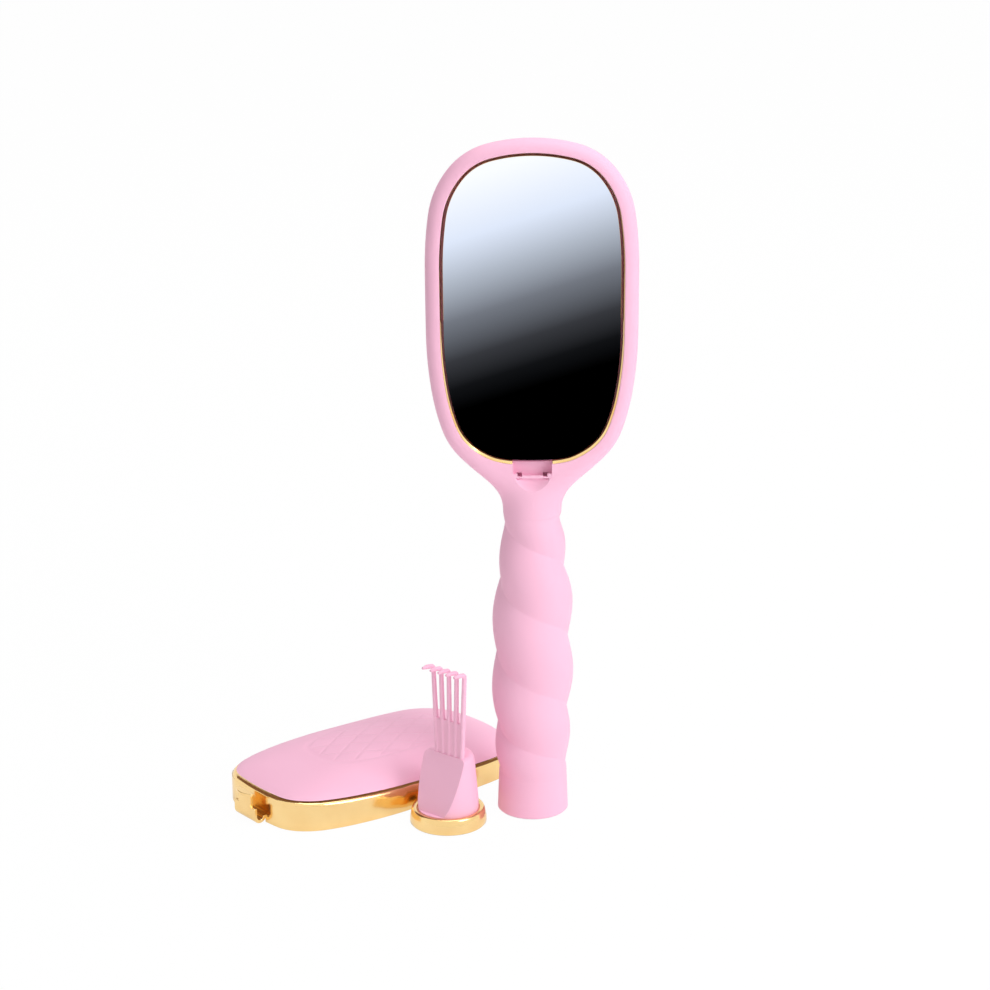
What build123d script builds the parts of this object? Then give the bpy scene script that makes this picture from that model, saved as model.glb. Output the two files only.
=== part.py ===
from build123d import *
import os
from math import cos, pi, radians, sin, sqrt

# Hairbrush with a mirror, a press-on mirror cover and a cleaning claw that stows in the handle.
# Millimetres. The brush stands on the foot of its handle: Z is up, the mirror faces -Y and the
# origin is the centre of the claw socket's mouth, on the surface that the foot stands on.
# The cover lies beside the brush, dome up, and the claw stands in front of it on its own ring.

# ---------------------------------------------------------------- driving dimensions
# Head: a superellipse outline round its widest line, rounder at the neck than at the top.
HEAD_HALF_WIDTH = 35.0
HEAD_RISE = 43.5            # widest line to the top
HEAD_DROP = 70.8            # widest line to the foot of the oval
RISE_POWER = 2.8
DROP_POWER = 3.4
RISE_NODES = (0, 40, 90)    # outline's normal, in degrees, where its arcs are pinned to the curve
DROP_NODES = (0, 10, 46, 90)
HEAD_DEPTH = 18.0           # mirror face to bristle face
FRONT_SHELL_DEPTH = 12.0    # mirror face to the seam between the two shells
EDGE_ROUND = 4.4            # rounding of both rims, cut as two flats
EDGE_SECOND_FLAT = 0.9
SIDE_LEAN = 3.3             # how far the side wall draws in towards the bristle face
SIDE_STRAIGHT = 3.2         # upright part of that wall, at the mirror face
SHELL_WALL = 1.7

# Neck: a round waist that flares into the head.
NECK_RADIUS = 9.45
NECK_FLARE_RADIUS = 15.2
NECK_RUN = 14.2             # waist to the foot of the oval
NECK_BLEND = 5.5            # how far the neck runs on inside the head
NECK_SPREAD = 0.1           # how fast it still widens there
NECK_SINK = 0.8             # how far it ends below both faces of the head
NECK_STEPS = 5

# Grip: a two-lobed rope twist that grows out of a plain round foot.
GRIP_HEIGHT = 108.0
FOOT_HEIGHT = 13.2
FOOT_RADIUS = 12.15
ANKLE_RADIUS = 11.65        # where the plain foot meets the twist
BELLY_RADIUS = 14.3
BELLY_HEIGHT = 50.0
WAIST_TAPER = 3.6           # how late the grip narrows towards the neck
LOBE_OFFSET = 1.9           # how far each strand's centre lies off the axis
HALF_TURNS = 4.5
TWIST_CROWDING = 0.27       # turns lie closer together at both ends
TWIST_TILT = 13.0           # degrees; the turns lean, right side up
STATIONS_PER_HALF_TURN = 6
ROPE_SIDES = 28             # flats round the twist

# Claw socket in the foot: one straight bore, closed by a disc in a narrower seat.
SOCKET_RADIUS = 10.6
SOCKET_DEPTH = 59.5
SOCKET_FLOOR_RADIUS = 9.7
SOCKET_FLOOR_THICK = 2.4
FRICTION_RING_HEIGHT = 5.5
FRICTION_RING_THICK = 1.6

# Tang that carries the head on the grip.
TANG_RADIUS = 5.2
TANG_RIB = 2.4
TANG_INTO_HEAD = 8.5
SCREW_HEAD_RADIUS = 2.6
SCREW_HEAD_THICK = 1.6
SCREW_RADIUS = 1.3
TANG_SCREW_LENGTH = 12.0
SHELL_SCREW_LENGTH = 7.0

# Mirror side of the head.
MIRROR_BORDER = 4.73        # edge of the head to the pocket wall
POCKET_DEPTH = 7.2
BEZEL_WALL = 0.35
BEZEL_SETBACK = 0.5         # bezel edge below the mirror face of the shell
RIM_WALL = 0.6
RIM_PLAY = 0.15             # each side of the cover's rim in the groove
MIRROR_RECESS = 1.4
MIRROR_THICK = 2.0
MIRROR_CHAMFER = 0.4
PAD_THICK = 0.6
PAD_MARGIN = 1.5

# Latch recess in the neck.
NOTCH_WIDTH = 12.9
NOTCH_DROP = 4.7            # pocket wall to the ledge
SCOOP_RADIUS = 9.0
SCOOP_HALF_WIDTH = 6.1
KEEPER_THICK = 1.1
KEEPER_BAR = 0.8
KEEPER_SLOT_WIDTH = 1.5
KEEPER_TONGUE = 7.0
CATCH = 0.45                # how far the latch shoulders sit behind the keeper

# Bristle side of the head.
CUSHION_BORDER = 8.4
CUSHION_SEAT_DEPTH = 4.0
CUSHION_FLANGE = 2.2
CUSHION_CROWN = 4.6
CUSHION_SLOPE = 1.7         # edge of the crown, eased by this much down and twice as much in
CUSHION_SKIN = 1.8
RING_WIDTH = 2.2
RING_THICK = 1.6
RING_PROUD = 0.4
PIN_REACH = 15.0            # crown of the cushion to the pin tips
PIN_ROOT_WIDTH = 1.5
PIN_TIP_WIDTH = 0.9
PIN_ROW_PITCH = 6.6
PIN_COLUMN_PITCH = 6.4
PIN_MARGIN = 2.9

# Cover.
RIM_FAR_HEIGHT = 5.8        # wall of the rim below its bevel, at the far end
RIM_HEEL_HEIGHT = 9.2       # the same at the latch end
RIM_BEVEL = 1.6
RIM_FLANGE = 1.2
DOME_RISE = 7.6
DOME_FALL = 0.68            # share of the rise that the crown loses out to its sides and ends
DOME_LEAN = 42.0            # degrees; how far the dome's edge leans in
DOME_WALL = 1.6
DOME_LEDGE = 0.9            # how much of the rim's flange carries the dome
TONGUE_WIDTH = 5.0
TONGUE_THICK = 1.2
TONGUE_REACH = 0.9
TONGUE_HEIGHT = 1.0
TONGUE_SPACING = 18.0

# Latch finger.
FINGER_REACH = 4.2          # rim to the outer face of the finger
FINGER_THICK = 1.2
FINGER_WIDTH = 9.4          # across the thumb lip
STEM_WIDTH = 7.4
SHOULDER_WIDTH = 12.2
SHOULDER_HEIGHT = 5.8
FINGER_HEIGHT = 9.9
LIP_REACH = 1.7
LIP_THICK = 1.0
LATCH_PRESS = 14.0          # degrees of travel, inwards

# Claw.
CLAW_RING_RADIUS = 13.15
CLAW_RING_TOP_RADIUS = 12.4
CLAW_RING_HEIGHT = 5.4
CLAW_FLOOR = 1.6
PLUG_RADIUS = 10.4
PLUG_TOP_RADIUS = 9.2
PLUG_TAPER_FROM = 8.4
PLUG_TOP = 25.0
PLUG_TOP_BREAK = 1.0
FLAT_FOOT_DISTANCE = 8.5    # axis to the slanted face, at the ring
FLAT_TOP_DISTANCE = 2.9
COMB_OFFSET = 0.4           # axis to the plane of the tines
COMB_SIDESTEP = 0.3
COMB_SLOT_DEPTH = 7.0
TINES = 5
TINE_WIDTH = 1.5
TINE_THICK = 1.4
TINE_ROOT_PITCH = 2.65
TINE_TOP_PITCH = 3.3
COMB_HEIGHT = 55.6
WEB_HEIGHT = 12.0           # web between the tines, above the plug
WEB_THICK = 0.8
HOOK_REACH = 5.0
HOOK_RISE = 0.7

# How the loose pieces lie beside the brush.
CLAW_PLACE = (-29.2, -12.2)
COVER_TURN = 38.6           # degrees; the cover's length against +X
COVER_BESIDE_CLAW = 2.15    # gap between the cover's side and the claw's ring
COVER_BEHIND_CLAW = 16.0    # along the cover, from the claw to the cover's widest line
CLAW_TURN = -128.0          # degrees; the way the slanted face and the hooks point

GAP = 0.1                   # running clearance between fixed pieces

# ---------------------------------------------------------------- derived places
HEAD_Z = GRIP_HEIGHT + NECK_RUN + HEAD_DROP
FRONT_Y = -HEAD_DEPTH / 2
SEAM_Y = FRONT_Y + FRONT_SHELL_DEPTH
BACK_Y = HEAD_DEPTH / 2
POCKET_FLOOR_Y = FRONT_Y + POCKET_DEPTH
RIM_INSET = MIRROR_BORDER + BEZEL_WALL + RIM_PLAY
MIRROR_INSET = RIM_INSET + RIM_WALL + RIM_PLAY
MIRROR_Y = FRONT_Y + MIRROR_RECESS
PLINTH_Y = MIRROR_Y + MIRROR_THICK + PAD_THICK
POCKET_END_Z = HEAD_Z - HEAD_DROP + MIRROR_BORDER
LEDGE_Z = POCKET_END_Z - NOTCH_DROP
RIM_END = -(HEAD_DROP - RIM_INSET)          # latch end of the rim, along the cover's length
RIM_FAR_END = HEAD_RISE - RIM_INSET
FINGER_FACE = RIM_END - FINGER_REACH
CUSHION_SEAT_Y = BACK_Y - CUSHION_SEAT_DEPTH


# ---------------------------------------------------------------- shared shapes
def oval_point(angle, reach, power):
    """Point of the head's superellipse where its outward normal points at an angle."""
    across = (max(0.0, round(cos(angle), 9)) * HEAD_HALF_WIDTH**power) ** (1 / (power - 1))
    along = (max(0.0, round(sin(angle), 9)) * reach**power) ** (1 / (power - 1))
    size = ((across / HEAD_HALF_WIDTH) ** power + (along / reach) ** power) ** (1 / power)
    return Vector(across / size, along / size)


def oval_stations(reach, power, nodes):
    """Ends of the tangent arcs that follow a quarter outline: each a point and the heading there."""
    stops = []
    for degrees in nodes:
        angle = radians(degrees)
        stops.append((oval_point(angle, reach, power), Vector(-sin(angle), cos(angle))))
    stations = [stops[0]]
    for (start, heading), (end, last) in zip(stops, stops[1:]):
        across = end - start
        turn = 2 * (1 - heading.dot(last))
        along = across.dot(heading + last)
        step = (sqrt(along**2 + turn * across.dot(across)) - along) / turn
        leaving = start + heading * step
        arriving = end - last * step
        stations += [((leaving + arriving) / 2, (arriving - leaving).normalized()), (end, last)]
    return stations


def head_oval(inset=0.0):
    """Outline of the head, drawn in by an even border, as a closed chain of tangent arcs."""
    arcs = []
    upper = oval_stations(HEAD_RISE, RISE_POWER, RISE_NODES)
    lower = oval_stations(HEAD_DROP, DROP_POWER, DROP_NODES)
    for stations, up in ((upper, 1), (lower, -1)):
        drawn_in = [(point - Vector(way.Y, -way.X) * inset, way) for point, way in stations]
        for (start, way), (end, _) in zip(drawn_in, drawn_in[1:]):
            for side in (1, -1):
                ends = ((side * start.X, up * start.Y), (side * end.X, up * end.Y))
                arcs.append(TangentArc(*ends, tangent=(side * way.X, up * way.Y)))
    return make_face(Curve() + arcs)


def inside_oval(x, y, inset):
    """True where a point of the oval's own frame lies inside the drawn-in outline."""
    reach, power = (HEAD_RISE, RISE_POWER) if y > 0 else (HEAD_DROP, DROP_POWER)
    across = abs(x) / (HEAD_HALF_WIDTH - inset)
    along = abs(y) / (reach - inset)
    return across**power + along**power < 1


def front_plane(y):
    """Plane of the head's outline at a depth, its normal towards the mirror side."""
    return Plane(origin=(0, y, HEAD_Z), x_dir=(1, 0, 0), z_dir=(0, -1, 0))


def head_slab(inset, y_from, y_to):
    """The head's outline, drawn in, as a slab between two depths."""
    return extrude(front_plane(y_to) * head_oval(inset), amount=y_to - y_from)


def block(x, y, z):
    """Box given by its limits along each axis."""
    size = [limits[1] - limits[0] for limits in (x, y, z)]
    middle = [(limits[0] + limits[1]) / 2 for limits in (x, y, z)]
    return Pos(*middle) * Box(*size)


def rod(radius, length, base, direction):
    """Cylinder from a base point along a direction."""
    return extrude(Plane(origin=base, z_dir=direction) * Circle(radius), amount=length)


def turned(*corners):
    """Solid of revolution about Z from the corners of its half profile (radius, height)."""
    return revolve(Plane.XZ * make_face(Polyline(*corners, close=True)), Axis.Z)


# ---------------------------------------------------------------- grip
def grip_radius(z):
    """Radius over the strands of the twist at a height."""
    if z < BELLY_HEIGHT:
        below = (BELLY_HEIGHT - z) / (BELLY_HEIGHT - FOOT_HEIGHT)
        return BELLY_RADIUS - (BELLY_RADIUS - ANKLE_RADIUS) * below**2
    above = (z - BELLY_HEIGHT) / (GRIP_HEIGHT - BELLY_HEIGHT)
    narrowing = 1 - (1 - above**WAIST_TAPER) ** 2
    return BELLY_RADIUS - (BELLY_RADIUS - NECK_RADIUS) * narrowing


def rope_section(fraction):
    """Cross-section of the twist, two round strands side by side, from -1 at the foot to 1 at the neck."""
    middle = (FOOT_HEIGHT + GRIP_HEIGHT) / 2
    half = (GRIP_HEIGHT - FOOT_HEIGHT) / 2
    z = middle + half * ((1 + TWIST_CROWDING) * fraction - TWIST_CROWDING * fraction**3)
    fade = 1 - fraction**4
    offset = LOBE_OFFSET * fade
    strand = grip_radius(z) - offset
    tilt = radians(TWIST_TILT * fade)
    plane = Plane(origin=(0, 0, z), x_dir=(cos(tilt), 0, sin(tilt)), z_dir=(-sin(tilt), 0, cos(tilt)))
    turn = -pi * HALF_TURNS / 2 * fraction
    corners = []
    for side in range(ROPE_SIDES):
        angle = 2 * pi * side / ROPE_SIDES
        reach = offset * abs(sin(angle)) + sqrt(strand**2 - (offset * cos(angle)) ** 2)
        corners.append((reach * cos(angle + turn), reach * sin(angle + turn)))
    return plane * make_face(Polyline(*corners, close=True))


def make_grip():
    steps = round(HALF_TURNS * STATIONS_PER_HALF_TURN)
    twist = loft([rope_section(2 * i / steps - 1) for i in range(steps + 1)], ruled=True)
    foot = turned((0, 0), (FOOT_RADIUS, 0), (ANKLE_RADIUS, FOOT_HEIGHT), (0, FOOT_HEIGHT))
    ring_low = FRICTION_RING_HEIGHT
    ring_high = FRICTION_RING_HEIGHT + FRICTION_RING_THICK + GAP
    ring_seat = friction_ring_radius() + GAP / 2
    bore = turned(
        (0, -1),
        (SOCKET_RADIUS, -1),
        (SOCKET_RADIUS, ring_low),
        (ring_seat, ring_low),
        (ring_seat, ring_high),
        (SOCKET_RADIUS, ring_high),
        (SOCKET_RADIUS, SOCKET_DEPTH),
        (SOCKET_FLOOR_RADIUS + GAP, SOCKET_DEPTH),
        (SOCKET_FLOOR_RADIUS + GAP, SOCKET_DEPTH + SOCKET_FLOOR_THICK),
        (TANG_RADIUS + GAP, SOCKET_DEPTH + SOCKET_FLOOR_THICK),
        (TANG_RADIUS + GAP, GRIP_HEIGHT + 1),
        (0, GRIP_HEIGHT + 1),
    )
    return twist + foot - bore


def friction_ring_radius():
    """Outer radius of the friction ring: half of its section is let into the grip's wall."""
    return SOCKET_RADIUS + (FOOT_RADIUS - SOCKET_RADIUS) / 3


def make_friction_ring():
    """Rubber band let into the socket's wall, flush with the bore."""
    low, high = FRICTION_RING_HEIGHT, FRICTION_RING_HEIGHT + FRICTION_RING_THICK
    outer = friction_ring_radius()
    return turned((SOCKET_RADIUS, low), (outer, low), (outer, high), (SOCKET_RADIUS, high))


def make_socket_floor():
    """Disc that closes the socket and clamps the grip to the tang."""
    low, high = SOCKET_DEPTH, SOCKET_DEPTH + SOCKET_FLOOR_THICK
    disc = rod(SOCKET_FLOOR_RADIUS, SOCKET_FLOOR_THICK, (0, 0, low), (0, 0, 1))
    recess = rod(SCREW_HEAD_RADIUS + GAP, SCREW_HEAD_THICK, (0, 0, low), (0, 0, 1))
    hole = rod(SCREW_RADIUS + GAP, SOCKET_FLOOR_THICK, (0, 0, low), (0, 0, 1))
    return disc - recess - hole


def make_screw(base, direction, length):
    """Pan-head screw with its head's outer face at the base point."""
    head = rod(SCREW_HEAD_RADIUS, SCREW_HEAD_THICK, base, direction)
    shank = rod(SCREW_RADIUS, length, base, direction)
    return head + shank


def make_tang():
    """Cross-ribbed spigot with a round core, from the socket's floor up into the head."""
    low = SOCKET_DEPTH + SOCKET_FLOOR_THICK
    high = GRIP_HEIGHT + TANG_INTO_HEAD
    bar = (-TANG_RIB / 2, TANG_RIB / 2)
    span = (-TANG_RADIUS, TANG_RADIUS)
    cross = block(span, bar, (low, high)) + block(bar, span, (low, high))
    core = rod(SCREW_RADIUS + SHELL_WALL, high - low, (0, 0, low), (0, 0, 1))
    collar = rod(TANG_RADIUS, SHELL_WALL, (0, 0, low), (0, 0, 1))
    top_collar = rod(TANG_RADIUS, SHELL_WALL, (0, 0, high - SHELL_WALL), (0, 0, 1))
    round_body = rod(TANG_RADIUS, high - low, (0, 0, low), (0, 0, 1))
    pilot = rod(SCREW_RADIUS + GAP / 2, TANG_SCREW_LENGTH, (0, 0, low - SOCKET_FLOOR_THICK), (0, 0, 1))
    return ((cross & round_body) + core + collar + top_collar) - pilot


# ---------------------------------------------------------------- head shells
def neck_section(height):
    """Section of the neck: a circle at the waist that widens and flattens into the head."""
    rise = min(height, NECK_RUN)
    flare = NECK_FLARE_RADIUS - sqrt(NECK_FLARE_RADIUS**2 - rise**2)
    spread = max(0.0, height - NECK_RUN) * NECK_SPREAD
    share = height / (NECK_RUN + NECK_BLEND)
    half_depth = NECK_RADIUS + (HEAD_DEPTH / 2 - NECK_SINK - NECK_RADIUS) * share
    return Pos(0, 0, GRIP_HEIGHT + height) * Ellipse(NECK_RADIUS + flare + spread, half_depth)


def make_head_block():
    """The whole outer form of the head and neck, before it is split at the seam."""
    head = head_slab(0, FRONT_Y, BACK_Y)
    back_rim = head.edges().filter_by_position(Axis.Y, BACK_Y, BACK_Y)
    back_face = head.faces().sort_by(Axis.Y)[-1]
    head = chamfer(back_rim, SIDE_LEAN, HEAD_DEPTH - SIDE_STRAIGHT, reference=back_face)
    for flat in (EDGE_ROUND * (2 - sqrt(2)), EDGE_SECOND_FLAT):
        rims = head.edges().filter_by_position(Axis.Y, FRONT_Y, FRONT_Y)
        rims += head.edges().filter_by_position(Axis.Y, BACK_Y, BACK_Y)
        head = chamfer(rims, flat)
    full = NECK_RUN + NECK_BLEND
    neck = loft([neck_section(full * i / NECK_STEPS) for i in range(NECK_STEPS + 1)])
    tang_bore = rod(TANG_RADIUS + GAP, TANG_INTO_HEAD, (0, 0, GRIP_HEIGHT), (0, 0, 1))
    return head + neck - tang_bore


def shell_screw_places():
    """Where the two screws join the shells, on the centre line: X and Z of each."""
    return [(0, HEAD_Z - HEAD_DROP / 2), (0, HEAD_Z + HEAD_RISE / 2)]


def latch_notch():
    """Recess in the neck that takes the latch finger."""
    half = NOTCH_WIDTH / 2
    top = POCKET_END_Z + (MIRROR_INSET - MIRROR_BORDER) / 2
    return block((-half, half), (FRONT_Y - 1, POCKET_FLOOR_Y), (LEDGE_Z, top))


def thumb_scoop():
    """Ball-shaped dip below the notch, for the thumb that presses the latch."""
    stand_off = sqrt(SCOOP_RADIUS**2 - SCOOP_HALF_WIDTH**2)
    return Pos(0, FRONT_Y - stand_off, LEDGE_Z + SCOOP_HALF_WIDTH / 4) * Sphere(SCOOP_RADIUS)


def tongue_slots(depth_play):
    """Windows at the far end that take the cover's two tongues."""
    low = POCKET_FLOOR_Y - TONGUE_HEIGHT - TONGUE_THICK - depth_play
    high = POCKET_FLOOR_Y - TONGUE_HEIGHT + depth_play
    half = TONGUE_WIDTH / 2 + depth_play
    top = HEAD_Z + RIM_FAR_END + TONGUE_REACH + depth_play
    slots = Part()
    for x in (-TONGUE_SPACING / 2, TONGUE_SPACING / 2):
        slots += block((x - half, x + half), (low, high), (HEAD_Z + RIM_FAR_END - 4, top))
    return slots


def make_front_shell(head):
    shell = head & block((-60, 60), (FRONT_Y - 1, SEAM_Y), (GRIP_HEIGHT - 1, HEAD_Z + HEAD_RISE + 1))
    shell -= head_slab(MIRROR_BORDER, FRONT_Y - 1, POCKET_FLOOR_Y)
    plinth = head_slab(MIRROR_INSET, PLINTH_Y, SEAM_Y)
    shell += plinth
    hollow = head_slab(MIRROR_INSET + SHELL_WALL, PLINTH_Y + SHELL_WALL, SEAM_Y)
    for x, z in shell_screw_places():
        boss_length = SEAM_Y - PLINTH_Y - SHELL_WALL
        hollow -= rod(SCREW_RADIUS + SHELL_WALL, boss_length, (x, SEAM_Y, z), (0, -1, 0))
        pilot_length = SHELL_SCREW_LENGTH - (CUSHION_SEAT_Y - SEAM_Y) + GAP
        shell -= rod(SCREW_RADIUS + GAP / 2, pilot_length, (x, SEAM_Y, z), (0, -1, 0))
    shell -= hollow
    shell -= latch_notch()
    shell -= thumb_scoop()
    shell -= tongue_slots(RIM_PLAY)
    return shell


def make_back_shell(head):
    shell = head & block((-60, 60), (SEAM_Y, BACK_Y + 1), (GRIP_HEIGHT - 1, HEAD_Z + HEAD_RISE + 1))
    shell -= head_slab(CUSHION_BORDER, CUSHION_SEAT_Y, BACK_Y + 1)
    for x, z in shell_screw_places():
        recess = (x, CUSHION_SEAT_Y, z)
        shell -= rod(SCREW_HEAD_RADIUS + GAP, SCREW_HEAD_THICK, recess, (0, -1, 0))
        shell -= rod(SCREW_RADIUS + GAP / 2, CUSHION_SEAT_DEPTH, recess, (0, -1, 0))
    return shell


def make_shell_screws():
    screws = [
        make_screw((x, CUSHION_SEAT_Y, z), (0, -1, 0), SHELL_SCREW_LENGTH)
        for x, z in shell_screw_places()
    ]
    return Compound(children=[screw.solid() for screw in screws])


# ---------------------------------------------------------------- mirror
def make_bezel():
    """Plated liner of the groove's outer wall, open where the latch comes through."""
    front = FRONT_Y + BEZEL_SETBACK
    ring = head_slab(MIRROR_BORDER + GAP / 2, front, POCKET_FLOOR_Y)
    ring -= head_slab(MIRROR_BORDER + BEZEL_WALL, front - 1, POCKET_FLOOR_Y + 1)
    half = NOTCH_WIDTH / 2 + GAP
    ring -= block((-half, half), (FRONT_Y - 1, POCKET_FLOOR_Y + 1), (LEDGE_Z, HEAD_Z - HEAD_DROP / 2))
    return ring - tongue_slots(RIM_PLAY)


def make_mirror_glass():
    glass = head_slab(MIRROR_INSET, MIRROR_Y, MIRROR_Y + MIRROR_THICK)
    return chamfer(glass.edges().filter_by_position(Axis.Y, MIRROR_Y, MIRROR_Y), MIRROR_CHAMFER)


def make_mirror_pad():
    return head_slab(MIRROR_INSET + PAD_MARGIN, MIRROR_Y + MIRROR_THICK, PLINTH_Y)


def make_latch_keeper():
    """Plate across the notch: two arms hold the latch's shoulders, slots flank a centre tongue."""
    back = POCKET_FLOOR_Y - SHOULDER_HEIGHT - RIM_PLAY
    depth = (back - KEEPER_THICK, back)
    half = NOTCH_WIDTH / 2
    finger_z = HEAD_Z + FINGER_FACE
    mouth = FINGER_WIDTH / 2 + RIM_PLAY
    plate = block((-half, half), depth, (LEDGE_Z, finger_z + CATCH))
    plate -= block((-mouth, mouth), (depth[0] - 1, depth[1] + 1), (LEDGE_Z + KEEPER_BAR, finger_z + 2))
    for side in (-1, 1):
        near = side * KEEPER_TONGUE / 2
        far = side * (KEEPER_TONGUE / 2 + KEEPER_SLOT_WIDTH)
        slot_x = (min(near, far), max(near, far))
        slot_z = (LEDGE_Z + KEEPER_BAR / 2, LEDGE_Z + 2 * KEEPER_BAR)
        plate -= block(slot_x, (depth[0] - 1, depth[1] + 1), slot_z)
    return plate


# ---------------------------------------------------------------- cushion and pins
def make_cushion():
    """Rubber air cushion: a flange under the retaining ring and a crowned, hollow pad."""
    flange_y = CUSHION_SEAT_Y + CUSHION_FLANGE
    flange = head_slab(CUSHION_BORDER + GAP, CUSHION_SEAT_Y, flange_y)
    crown_y = BACK_Y + CUSHION_CROWN
    pad_inset = CUSHION_BORDER + RING_WIDTH + GAP
    pad = head_slab(pad_inset, CUSHION_SEAT_Y, crown_y)
    pad = chamfer(pad.edges().filter_by_position(Axis.Y, crown_y, crown_y), CUSHION_SLOPE, 2 * CUSHION_SLOPE)
    air = head_slab(pad_inset + CUSHION_SKIN + CUSHION_CROWN / 2, CUSHION_SEAT_Y, crown_y - CUSHION_SKIN)
    return flange + pad - air


def make_cushion_ring():
    back = BACK_Y + RING_PROUD
    front = CUSHION_SEAT_Y + CUSHION_FLANGE
    ring = head_slab(CUSHION_BORDER + GAP, front, back)
    return ring - head_slab(CUSHION_BORDER + RING_WIDTH, front - 1, back + 1)


def pin_places():
    """Staggered rows of pins inside the cushion's edge: X and Z of each."""
    margin = CUSHION_BORDER + RING_WIDTH + PIN_MARGIN
    rows_up = int(HEAD_RISE // PIN_ROW_PITCH)
    rows_down = int(HEAD_DROP // PIN_ROW_PITCH)
    columns = int(HEAD_HALF_WIDTH // PIN_COLUMN_PITCH) + 1
    places = []
    for row in range(-rows_down, rows_up + 1):
        shift = PIN_COLUMN_PITCH / 2 if row % 2 else 0.0
        for column in range(-columns, columns + 1):
            x, z = column * PIN_COLUMN_PITCH + shift, row * PIN_ROW_PITCH
            if inside_oval(x, z, margin):
                places.append((x, HEAD_Z + z))
    return places


def make_pins():
    """Tapered pins pushed through the cushion's skin, each a slim flat-sided spike."""
    root_y = BACK_Y + CUSHION_CROWN - CUSHION_SKIN
    length = CUSHION_SKIN + PIN_REACH
    near = (PIN_ROOT_WIDTH - PIN_TIP_WIDTH) / 2
    far = (PIN_ROOT_WIDTH + PIN_TIP_WIDTH) / 2
    pin = Wedge(PIN_ROOT_WIDTH, length, PIN_ROOT_WIDTH, near, near, far, far)
    return Compound(children=[(Pos(x, root_y + length / 2, z) * pin).solid() for x, z in pin_places()])


# ---------------------------------------------------------------- cover, in its own frame
# Local frame: y along the cover's length from latch end to far end, z up out of the rim's edge.
def crest_slope():
    """How much the rim's upper face climbs towards the latch end."""
    return (RIM_HEEL_HEIGHT - RIM_FAR_HEIGHT) / (RIM_FAR_END - RIM_END)


def crest_height(y):
    """Height of the rim's upper face along the length, on top of its bevel."""
    return RIM_FAR_HEIGHT + RIM_BEVEL + crest_slope() * (RIM_FAR_END - y)


def crest_plane(rise=0.0):
    """Plane of the rim's upper face, raised by a distance."""
    normal = Vector(0, crest_slope(), 1).normalized()
    return Plane(origin=(0, 0, crest_height(0)), x_dir=(1, 0, 0), z_dir=normal).offset(rise)


def under_crest(drop):
    """Everything below the rim's upper face, lowered by a distance."""
    near, far = RIM_END - 5, HEAD_RISE + 5
    tops = ((far, crest_height(far) - drop), (near, crest_height(near) - drop))
    outline = Polyline((near, -1), (far, -1), *tops, close=True)
    side = Plane(origin=(0, 0, 0), x_dir=(0, 1, 0), z_dir=(1, 0, 0))
    return extrude(side * make_face(outline), amount=2 * HEAD_HALF_WIDTH, both=True)


def cover_slab(inset, low, high):
    return extrude(Pos(0, 0, low) * head_oval(inset), amount=high - low)


def make_cover_rim():
    """Plated ring: thin wall for the groove, bevelled upper edge and a flange for the dome."""
    tall = crest_height(RIM_END) + 1
    body = cover_slab(RIM_INSET, 0, tall) & under_crest(0)
    middles = [(edge, edge @ 0.5) for edge in body.edges()]
    body = chamfer([edge for edge, at in middles if abs(at.Z - crest_height(at.Y)) < 0.01], RIM_BEVEL)
    body -= cover_slab(RIM_INSET + RIM_WALL, -1, tall) & under_crest(RIM_FLANGE)
    body -= cover_slab(RIM_INSET + RIM_BEVEL + DOME_LEDGE, -1, tall)
    body -= bend_slot()
    for x in (-TONGUE_SPACING / 2, TONGUE_SPACING / 2):
        body += cover_tongue(x)
    return body


def cover_tongue(x):
    """Hook at the far end that slips under the head's rim."""
    half = TONGUE_WIDTH / 2
    reach = cover_slab(RIM_INSET - TONGUE_REACH, TONGUE_HEIGHT, TONGUE_HEIGHT + TONGUE_THICK)
    strip = block((x - half, x + half), (RIM_FAR_END - 6, HEAD_RISE), (0, RIM_FAR_HEIGHT))
    return (reach & strip) - cover_slab(RIM_INSET + RIM_WALL / 2, 0, RIM_FAR_HEIGHT)


def bend_slot():
    """Cut in the rim's lower edge that the latch's U-bend springs from."""
    half = SHOULDER_WIDTH / 2
    return block((-half, half), (RIM_END - 1, RIM_END + 2 * RIM_WALL), (-1, bend_height()))


def bend_radius():
    """Mean radius of the latch's U-bend, from the rim's wall round to the finger."""
    return (FINGER_REACH + RIM_WALL - FINGER_THICK) / 2


def bend_height():
    """Height of the U-bend's centre over the rim's lower edge."""
    return bend_radius() + FINGER_THICK / 2 + GAP


def bend_centre():
    """Place of the U-bend's axis along the cover's length."""
    return FINGER_FACE + FINGER_THICK / 2 + bend_radius()


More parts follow.
